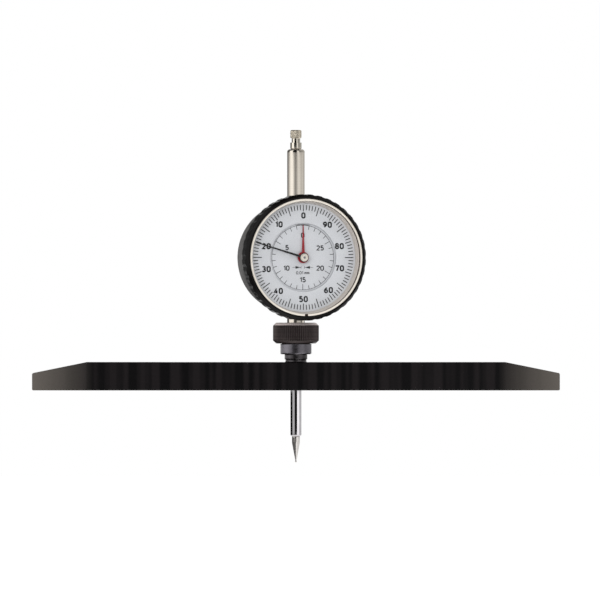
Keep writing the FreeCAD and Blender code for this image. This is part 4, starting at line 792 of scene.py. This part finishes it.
@dataclass
class Rim:
    """The black turning rim with its scalloped grip, the glass and the bright tension ring."""

    radius: float = 28.7
    bore: float = 26.65
    skirt_bore: float = 25.03
    rear: float = 9.8
    ledge: float = 11.2
    shoulder: float = 15.2
    front: float = 16.8
    ring_width: float = 1.0
    ring_gap: float = 1.7
    ring_front: float = 16.6
    spacer_width: float = 2.0
    spacer_rear: float = 11.6
    seat: float = 14.66
    glass_rear: float = 14.7
    glass_front: float = 16.0
    scallops: int = 40
    scallop_depth: float = 0.3
    scallop_radius: float = 3.2

    def grip_edge(self, radius: np.ndarray, height: np.ndarray, turn: np.ndarray) -> np.ndarray:
        """Scalloped grip: round hollows cut by circles set evenly just outside the rim.

        Where a ray at angle a from a circle's centre line meets that circle, the radius is
        c cos a - sqrt(r^2 - c^2 sin^2 a), with c the circle's distance from the axis and r its
        radius.
        """
        centre = self.radius + self.scallop_radius - self.scallop_depth
        pitch = 2 * np.pi / self.scallops
        away = (turn + pitch / 2) % pitch - pitch / 2
        inside = self.scallop_radius ** 2 - (centre * np.sin(away)) ** 2
        cut = centre * np.cos(away) - np.sqrt(np.maximum(inside, 0.0))
        return np.where(inside > 0, np.minimum(radius, cut), radius)

    def build(self) -> None:
        """Makes the rim, the spacer, the tension ring and the glass."""
        loop = [(self.skirt_bore, self.rear), (self.radius - 0.4, self.rear),
                (self.radius, self.rear + 0.4), (self.radius, self.shoulder),
                (27.4, self.front), (27.05, self.front), (self.bore, self.ring_front),
                (self.bore, self.ledge), (self.skirt_bore, self.ledge)]
        rim = lathe("scalloped_rim", densified(eased(loop, 0.12, True), 0.35), Place.DIAL,
                    RIM_BLACK, "turning_rim", True, self.scallops * 24, shape=self.grip_edge)
        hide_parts("rim")
        loose = self.bore - 0.03
        inner = self.bore - self.ring_width
        spacer = [(self.bore - self.spacer_width, self.spacer_rear), (loose, self.spacer_rear),
                  (loose, self.seat), (inner, self.seat)]
        piece = lathe("spacer_slope", eased(spacer, 0.08, True), Place.DIAL, SPACER_GREY,
                      "turning_rim", True, 160)
        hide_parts("spacer_ring")
        # A dark sheet between the spacer and the glass: painted shade and painted reflection at the
        # tension ring's inner edge and gap.
        line = [(inner, self.seat), (loose, self.seat), (loose, self.glass_rear),
                (inner, self.glass_rear)]
        lathe("painted_shade_seat_line", np.array(line), Place.DIAL, PAINTED_SHADE_SEAT, "turning_rim", True, 160)
        clip = [(inner, self.glass_front), (loose, self.glass_front), (loose, self.ring_front),
                (inner, self.ring_front)]
        piece = lathe("bright_tension_ring", eased(clip, 0.22, True), Place.DIAL, NICKEL_RING,
                      "turning_rim", True, 200, arc=(-90 + self.ring_gap, 270 - self.ring_gap))
        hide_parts("tension_ring")
        glass = [(0.0, self.glass_rear), (loose, self.glass_rear), (loose, self.glass_front),
                 (0.0, self.glass_front)]
        piece = lathe("clear_glass", eased(glass, 0.1, False), Place.DIAL, CRYSTAL, "turning_rim",
                      False, 160)
        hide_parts("crystal")


@dataclass
class Dial:
    """The printed outer scale, the printed counter dial and the two hands."""

    scale_rear: float = 11.2
    scale_front: float = 11.6
    window: float = 15.65
    scale_radius: float = 26.62
    tick_outer: float = 23.8
    ten_inner: float = 20.9
    five_inner: float = 19.7
    one_inner: float = 21.5
    tick_width: float = 0.4
    numeral_height: float = 2.87
    numeral_stroke: float = 0.7
    counter_rear: float = 10.2
    counter_front: float = 10.6
    counter_bore: float = 1.6
    counter_radius: float = 16.3
    circle_radius: float = 14.7
    circle_width: float = 0.18
    long_tick: float = 2.6
    short_tick: float = 1.8
    counter_tick_width: float = 0.25
    counter_numeral_height: float = 2.4
    counter_numeral_stroke: float = 0.48
    arrow_level: float = -4.5

    def outer_scale(self) -> None:
        """A hundred ticks, longer at fives and tens, numbered counter-clockwise by tens."""
        ring = [(self.window, self.scale_rear), (self.scale_radius, self.scale_rear),
                (self.scale_radius, self.scale_front), (self.window, self.scale_front)]
        piece = lathe("scale_ring", eased(ring, 0.03, True), Place.DIAL, DIAL_GREY, "turning_rim",
                      True, 200)
        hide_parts("dial_scale")
        marks = Print("scale_print", self.scale_front, "turning_rim", INK)
        for step in range(100):
            inner = (self.ten_inner if step % 10 == 0
                     else self.five_inner if step % 5 == 0 else self.one_inner)
            marks.ray(step * 3.6, inner, self.tick_outer, self.tick_width)
        places = {0: (0.0, 19.1), 10: (-11.6, 15.0), 20: (-17.6, 5.1), 30: (-17.6, -5.3),
                  40: (-11.9, -15.2), 50: (0.0, -18.9), 60: (11.9, -14.8), 70: (17.2, -4.9),
                  80: (17.1, 5.2), 90: (11.4, 14.9)}
        for number, (x, y) in places.items():
            marks.words(str(number), x, y, self.numeral_height, self.numeral_stroke)
        marks.finish_piece()

    def counter_scale(self) -> None:
        """Thirty inward ticks, figures at each five, limit arrows and the division in words."""
        disc = [(self.counter_bore, self.counter_rear), (self.counter_radius, self.counter_rear),
                (self.counter_radius, self.counter_front), (self.counter_bore, self.counter_front)]
        piece = lathe("counter_disc", eased(disc, 0.03, True), Place.DIAL, DIAL_GREY, "gauge", True,
                      160)
        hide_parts("counter_dial")
        marks = Print("counter_print", self.counter_front, "gauge", INK, stretch=1.35)
        marks.circle(self.circle_radius, self.circle_width)
        for step in range(30):
            length = self.long_tick if step % 5 == 0 else self.short_tick
            marks.ray(step * 12, self.circle_radius - length, self.circle_radius,
                      self.counter_tick_width)
        for text, x, y in (("0", 0.0, 10.1), ("5", -7.45, 4.5), ("10", -7.75, -4.83),
                           ("15", 0.0, -10.1), ("20", 8.25, -4.83), ("25", 8.25, 4.35)):
            marks.words(text, x, y, self.counter_numeral_height, self.counter_numeral_stroke)
        # A dark lens just inside the window's upper edge: a painted shadow of that edge on the
        # counter dial, not print.
        marks.lens(14.75, 3.9, 0.3, 0.2)
        for side in (-1, 1):
            marks.ribbon(np.array([(side * 0.8, -5.05), (side * 0.8, -3.95)]), 0.18)
            # The arrow's shaft, and its head in four steps that narrow to the tip.
            for start, stop, width in ((3.4, 4.9, 0.16), (3.45, 2.9, 1.15), (2.9, 2.35, 0.86),
                                       (2.35, 1.75, 0.54), (1.75, 1.0, 0.24)):
                marks.ribbon(np.array([(side * start, self.arrow_level),
                                       (side * stop, self.arrow_level)]), width)
        marks.words("0,01 mm", 0.0, -6.93, 1.45, 0.25)
        marks.finish_piece()

    def hands(self) -> None:
        """Dresses both hands and makes the pointer's turned cap with its dark centre."""
        smooth_copy("pointer", "pointer_blade", HAND_BLACK)
        smooth_copy("counter_hand", "counter_blade", HAND_RED)
        cap = [(0.55, 12.75), (1.8, 12.75), (1.8, 13.35), (1.5, 13.65), (0.62, 13.65), (0.55, 13.3)]
        piece = lathe("pointer_cap_ring", eased(cap, 0.08, True), Place.DIAL, NICKEL_RING,
                      "pointer_shaft", True, 64)
        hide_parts("pointer_cap")

    def build(self) -> None:
        """Makes both dials and the hands."""
        self.outer_scale()
        self.counter_scale()
        self.hands()


@dataclass
class Movement:
    """The gear train, plates and springs inside the case, kept as they are and dressed."""

    brass: tuple[str, ...] = ("rear_plate", "middle_plate", "front_plate", "plate_pillars",
                              "dial_posts", "main_wheel", "counter_pinion", "counter_wheel",
                              "takeup_wheel")
    steel: tuple[str, ...] = ("guide_bar", "spring_post", "rack_arbor", "centre_arbor",
                              "takeup_arbor", "hairspring_stud")
    springs: tuple[str, ...] = ("measuring_spring", "hairspring")

    def build(self) -> None:
        """Dresses every inner piece."""
        for nodes, finish in ((self.brass, BRASS), (self.steel, ARBOR_STEEL),
                              (self.springs, SPRING_STEEL)):
            for node in nodes:
                dress(node, finish)


def dress(node: str, finish: Finish) -> None:
    """Gives a CAD node its finish."""
    target = frame["nodes"][node]
    target.data.materials.clear()
    target.data.materials.append(finish.material())
    LOG.info("%s: dressed in %s", node, finish.name)


def smooth_copy(node: str, name: str, finish: Finish) -> bpy.types.Object:
    """A copy of a CAD node with its points merged, so that its round faces shade smoothly."""
    source = frame["nodes"][node]
    mesh = source.data.copy()
    mesh.name = name
    shell = bmesh.new()
    shell.from_mesh(mesh)
    bmesh.ops.remove_doubles(shell, verts=shell.verts, dist=2e-6)
    shell.to_mesh(mesh)
    shell.free()
    mesh.shade_smooth()
    mesh.set_sharp_from_angle(angle=math.radians(30))
    mesh.materials.clear()
    mesh.materials.append(finish.material())
    piece = add_object(name, mesh)
    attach(piece, source["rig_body"])
    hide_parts(node)
    LOG.info("%s: a smooth copy of %s", name, node)
    return piece


def lap(mesh: bpy.types.Mesh, place: Place, radius: float) -> None:
    """Sets the normals of a cylinder about a frame's z axis straight out from that axis.

    Args:
        mesh: the mesh, in row-frame metres.
        place: the frame.
        radius: the cylinder's radius in millimetres.
    """
    back = np.array(place.value.inverted())
    points = np.empty(len(mesh.vertices) * 3)
    mesh.vertices.foreach_get("co", points)
    out = (points.reshape(-1, 3) / MM) @ back[:3, :3].T + back[:3, 3]
    out[:, 2] = 0.0
    reach = np.linalg.norm(out, axis=1)
    outward = (out / np.maximum(reach, 1e-6)[:, None]) @ back[:3, :3]
    corners = np.empty(len(mesh.loops), dtype=int)
    mesh.loops.foreach_get("vertex_index", corners)
    normals = np.empty(len(mesh.loops) * 3)
    mesh.corner_normals.foreach_get("vector", normals)
    flat = np.empty(len(mesh.polygons) * 3)
    mesh.polygons.foreach_get("normal", flat)
    sides = np.empty(len(mesh.polygons), dtype=int)
    mesh.polygons.foreach_get("loop_total", sides)
    faces = np.repeat(flat.reshape(-1, 3), sides, axis=0)
    facing = (faces * outward[corners]).sum(axis=1) > 0.9
    lapped = facing & (np.abs(reach[corners] - radius) < 0.02)
    mesh.normals_split_custom_set(
        np.where(lapped[:, None], outward[corners], normals.reshape(-1, 3)).tolist())


@dataclass(frozen=True)
class Surround:
    """An upright card all round the gauge that one length of its bright metal mirrors.

    Attributes:
        name: the card's name.
        low: the lowest height in millimetres, on the spindle's axis, that mirrors it.
        high: the greatest one.
        stops: bearings in degrees with the tone there, where 1 is the white surround. Between two
            stops the tone goes evenly from one to the other.
        away: its distance from the axis in millimetres.
    """

    name: str
    low: float
    high: float
    stops: tuple[tuple[float, float], ...]
    away: float = 250.0

    def rows(self) -> np.ndarray:
        """Its points in metres, from the first stop's bearing to the last one's.

        A sight line that meets the axis at a height h goes on, mirrored, to h + (h - camera) away /
        distance on the card.
        """
        turn = np.radians(np.linspace(self.stops[0][0], self.stops[-1][0], 67))
        ring = np.column_stack([np.sin(turn), -np.cos(turn), np.zeros_like(turn)]) * self.away
        climb = self.away / VIEW_DISTANCE
        return np.stack([ring + (0.0, 0.0, level + (level - VIEW_HEIGHT) * climb)
                         for level in (self.low, self.high)]) * MM

    def tone(self, tree: Tree) -> Socket:
        """The tone at a point, from the bearing that its place in the plan gives."""
        coordinates = add_node(tree, "ShaderNodeTexCoord")
        axes = add_node(tree, "ShaderNodeSeparateXYZ", Vector=coordinates.outputs["Object"])
        front = add_node(tree, "ShaderNodeMath", {"operation": "MULTIPLY"}, in0=axes.outputs["Y"],
                         in1=-1.0)
        bearing = add_node(tree, "ShaderNodeMath", {"operation": "ARCTAN2"}, in0=axes.outputs["X"],
                           in1=front.outputs["Value"])
        share = add_node(tree, "ShaderNodeMapRange", Value=bearing.outputs["Value"],
                         From_Min=-math.pi, From_Max=math.pi)
        ramp = add_node(tree, "ShaderNodeValToRGB", Fac=share.outputs["Result"])
        peak = max(tone for _, tone in self.stops)
        marks = ramp.color_ramp.elements
        for number, (angle, tone) in enumerate(self.stops):
            place = (angle + 180) / 360
            mark = marks[0] if number == 0 else marks.new(place)
            mark.position = place
            mark.color = (tone / peak, tone / peak, tone / peak, 1.0)
        marks.remove(marks[-1])
        scaled = add_node(tree, "ShaderNodeMath", {"operation": "MULTIPLY"},
                          in0=ramp.outputs["Color"], in1=peak)
        return scaled.outputs["Value"]


# The cards from the one that the pointed insert mirrors up to the lifting knob's.
SURROUNDS = (
    Surround("insert_surround", -150.0, -20.8, (
        (-165, 0.1), (-90, 0.16), (-4, 0.2), (6, 1.5), (22, 1.5), (30, 1.15), (165, 0.95))),
    Surround("spindle_surround", -20.8, 0.0, (
        (-165, 0.01), (-79, 0.01), (-75, 0.68), (-29, 0.68), (-26, 0.01), (24, 0.01), (27, 1.7),
        (60, 1.7), (64, 1.0), (90, 0.95), (118, 0.68), (165, 0.62))),
    Surround("collar_surround", 0.0, 25.0, (
        (-165, 0.8), (-127, 0.93), (-79, 1.3), (-61, 1.14), (-45, 0.55), (-29, 0.22), (0, 0.06),
        (8, 0.08), (23, 0.26), (54, 0.48), (81, 0.5), (114, 0.45), (165, 0.6))),
    Surround("stub_surround", 25.0, 36.0, (
        (-165, 0.01), (-108, 0.01), (-98, 1.2), (-31, 1.2), (-25, 0.01), (10, 0.01), (13, 0.65),
        (64, 0.6), (68, 0.05), (86, 0.05), (92, 1.0), (128, 1.0), (140, 0.05), (165, 0.05))),
    Surround("tube_surround", 36.0, 109.7, (
        (-165, 0.12), (-136, 0.2), (-110, 0.48), (-90, 0.87), (-73, 1.27), (-58, 1.38), (-44, 1.36),
        (-30, 1.0), (-17, 0.5), (-4, 0.35), (8, 0.5), (21, 0.76), (34, 0.97), (48, 0.96), (62, 0.8),
        (78, 0.69), (95, 0.82), (116, 0.6), (165, 0.6))),
    Surround("knob_surround", 109.7, 560.0, (
        (-165, 0.13), (-90, 0.13), (-86, 1.4), (-44, 1.4), (-40, 0.005), (13, 0.005), (16, 0.95),
        (42, 0.95), (47, 0.22), (84, 0.38), (115, 0.47), (165, 0.5))),
)


@dataclass
class Studio:
    """A plain pale floor, soft lamps, and cards of grey that shape what the bright metal mirrors.

    Directions round the gauge are in degrees from the camera's side, positive to the right.
    """

    floor_height: float = -0.16
    floor_reach: float = 6.0
    floor_lift: float = 0.4
    sky_light: float = 0.85
    roof_reach: float = 0.4
    roof_height: float = 0.9
    roof_glow: float = 0.03
    view_width: float = 0.2732
    view_depth: float = 20.0
    sideways: float = 0.00185
    target: tuple[float, float, float] = (0.0, 0.0, 0.05)

    def camera(self) -> None:
        """The camera straight in front of the bridge, with the photograph's framing."""
        lens = bpy.data.cameras.new("camera")
        lens.sensor_width = SENSOR_WIDTH
        lens.lens = SENSOR_WIDTH * VIEW_DISTANCE * MM / self.view_width
        lens.clip_end = self.view_depth
        stand = add_object("camera", lens)
        stand.location = (self.sideways, -VIEW_DISTANCE * MM, VIEW_HEIGHT * MM)
        stand.rotation_euler = (math.pi / 2, 0.0, 0.0)
        bpy.context.scene.camera = stand

    def seen_share(self, tree: Tree) -> Socket:
        """1 for rays that show a thing straight, mirrored or through glass, and 0 for light."""
        rays = add_node(tree, "ShaderNodeLightPath")
        straight = add_node(tree, "ShaderNodeMath", {"operation": "MAXIMUM"},
                            in0=rays.outputs["Is Camera Ray"],
                            in1=rays.outputs["Is Transmission Ray"])
        seen = add_node(tree, "ShaderNodeMath", {"operation": "MAXIMUM"},
                        in0=straight.outputs["Value"], in1=rays.outputs["Is Glossy Ray"])
        return seen.outputs["Value"]

    def floor(self) -> None:
        """A paper floor that takes the gauge's shadow and is lifted to white where it is seen."""
        mesh = bpy.data.meshes.new("floor")
        corners = np.array([(-1, -1), (1, -1), (1, 1), (-1, 1)]) * self.floor_reach
        points = np.column_stack([corners, np.full(4, self.floor_height)])
        mesh.from_pydata(points, [], [(0, 1, 2, 3)])
        floor = add_object("floor", mesh)
        material = bpy.data.materials.new("pale paper floor")
        tree = empty_tree(material)
        paper = add_node(tree, "ShaderNodeBsdfDiffuse", Color=linear("#f2f2f2"))
        lift = add_node(tree, "ShaderNodeMath", {"operation": "MULTIPLY"},
                        in0=self.seen_share(tree), in1=self.floor_lift)
        glow = add_node(tree, "ShaderNodeEmission", Strength=lift.outputs["Value"])
        both = add_node(tree, "ShaderNodeAddShader", in0=paper.outputs["BSDF"],
                        in1=glow.outputs["Emission"])
        add_node(tree, "ShaderNodeOutputMaterial", Surface=both.outputs["Shader"])
        mesh.materials.append(material)

    def world(self) -> None:
        """A white surround for what is seen, and a soft grey one for what it lights."""
        world = bpy.data.worlds.new("studio")
        bpy.context.scene.world = world
        tree = empty_tree(world)
        strength = add_node(tree, "ShaderNodeMapRange", Value=self.seen_share(tree),
                            To_Min=self.sky_light, To_Max=1.0)
        sky = add_node(tree, "ShaderNodeBackground", Color=linear("#ffffff"),
                       Strength=strength.outputs["Result"])
        add_node(tree, "ShaderNodeOutputWorld", Surface=sky.outputs["Background"])

    def lamp(self, name: str, bearing: float, away: float, height: float,
             size: tuple[float, float], power: float) -> None:
        """A soft lamp that faces the gauge and isn't mirrored in it.

        Args:
            name: the lamp's name.
            bearing: its direction in degrees.
            away: its distance from the spindle's axis in metres.
            height: its middle's height in metres.
            size: its width and height in metres.
            power: its power in watts.
        """
        light = bpy.data.lights.new(name, "AREA")
        light.shape = "RECTANGLE"
        light.size, light.size_y = size
        light.energy = power
        stand = add_object(name, light)
        stand.visible_glossy = False
        turn = math.radians(bearing)
        aim = Matrix.Translation((away * math.sin(turn), -away * math.cos(turn), height))
        back = aim.translation - Matrix.Translation(self.target).translation
        stand.matrix_world = aim @ back.to_track_quat("Z", "Y").to_matrix().to_4x4()

    def card(self, name: str, rows: np.ndarray) -> Tree:
        """A glowing card that only mirror reflections see.

        Args:
            name: the card's name.
            rows: its points in metres, as a (rows, columns, 3) array.

        Returns:
            Its material's node tree, with the glow still at strength 1.
        """
        mesh = bpy.data.meshes.new(name)
        faces = grid_faces(*rows.shape[:2], False, False)
        mesh.from_pydata(rows.reshape(-1, 3), [], faces.tolist())
        card = add_object(name, mesh)
        material = bpy.data.materials.new(name)
        tree = empty_tree(material)
        glow = add_node(tree, "ShaderNodeEmission")
        add_node(tree, "ShaderNodeOutputMaterial", Surface=glow.outputs["Emission"])
        mesh.materials.append(material)
        card.visible_camera = False
        card.visible_diffuse = False
        card.visible_shadow = False
        card.visible_transmission = False
        return tree

    def cards(self) -> None:
        """The tall surrounds, and a dark card overhead that draws the upper edges."""
        for surround in SURROUNDS:
            tree = self.card(surround.name, surround.rows())
            tree.links.new(surround.tone(tree), tree.nodes["Emission"].inputs["Strength"])
        corners = np.array([(-1, -1), (1, -1), (-1, 1), (1, 1)]) * self.roof_reach
        roof = np.column_stack([corners, np.full(4, self.roof_height)]).reshape(2, 2, 3)
        tree = self.card("dark_overhead_card", roof)
        tree.nodes["Emission"].inputs["Strength"].default_value = self.roof_glow

    def build(self) -> None:
        """Sets the stage, the lights and the camera."""
        bpy.context.scene.view_settings.view_transform = "Standard"
        bpy.context.scene.cycles.caustics_reflective = False
        self.floor()
        self.world()
        self.lamp("front_softbox", bearing=-14.0, away=1.1, height=0.3, size=(0.7, 0.5), power=5.4)
        self.cards()
        self.camera()


def main() -> None:
    """Builds every sub-assembly, dresses it and lights it."""
    logging.basicConfig(level=logging.INFO, format="%(message)s")
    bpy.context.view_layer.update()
    for assembly in (Bridge(), Clamp(), Plunger(), Head(), Rim(), Dial(), Movement(), Studio()):
        LOG.info("building %s", type(assembly).__name__)
        assembly.build()


if __name__ == "__main__":
    main()
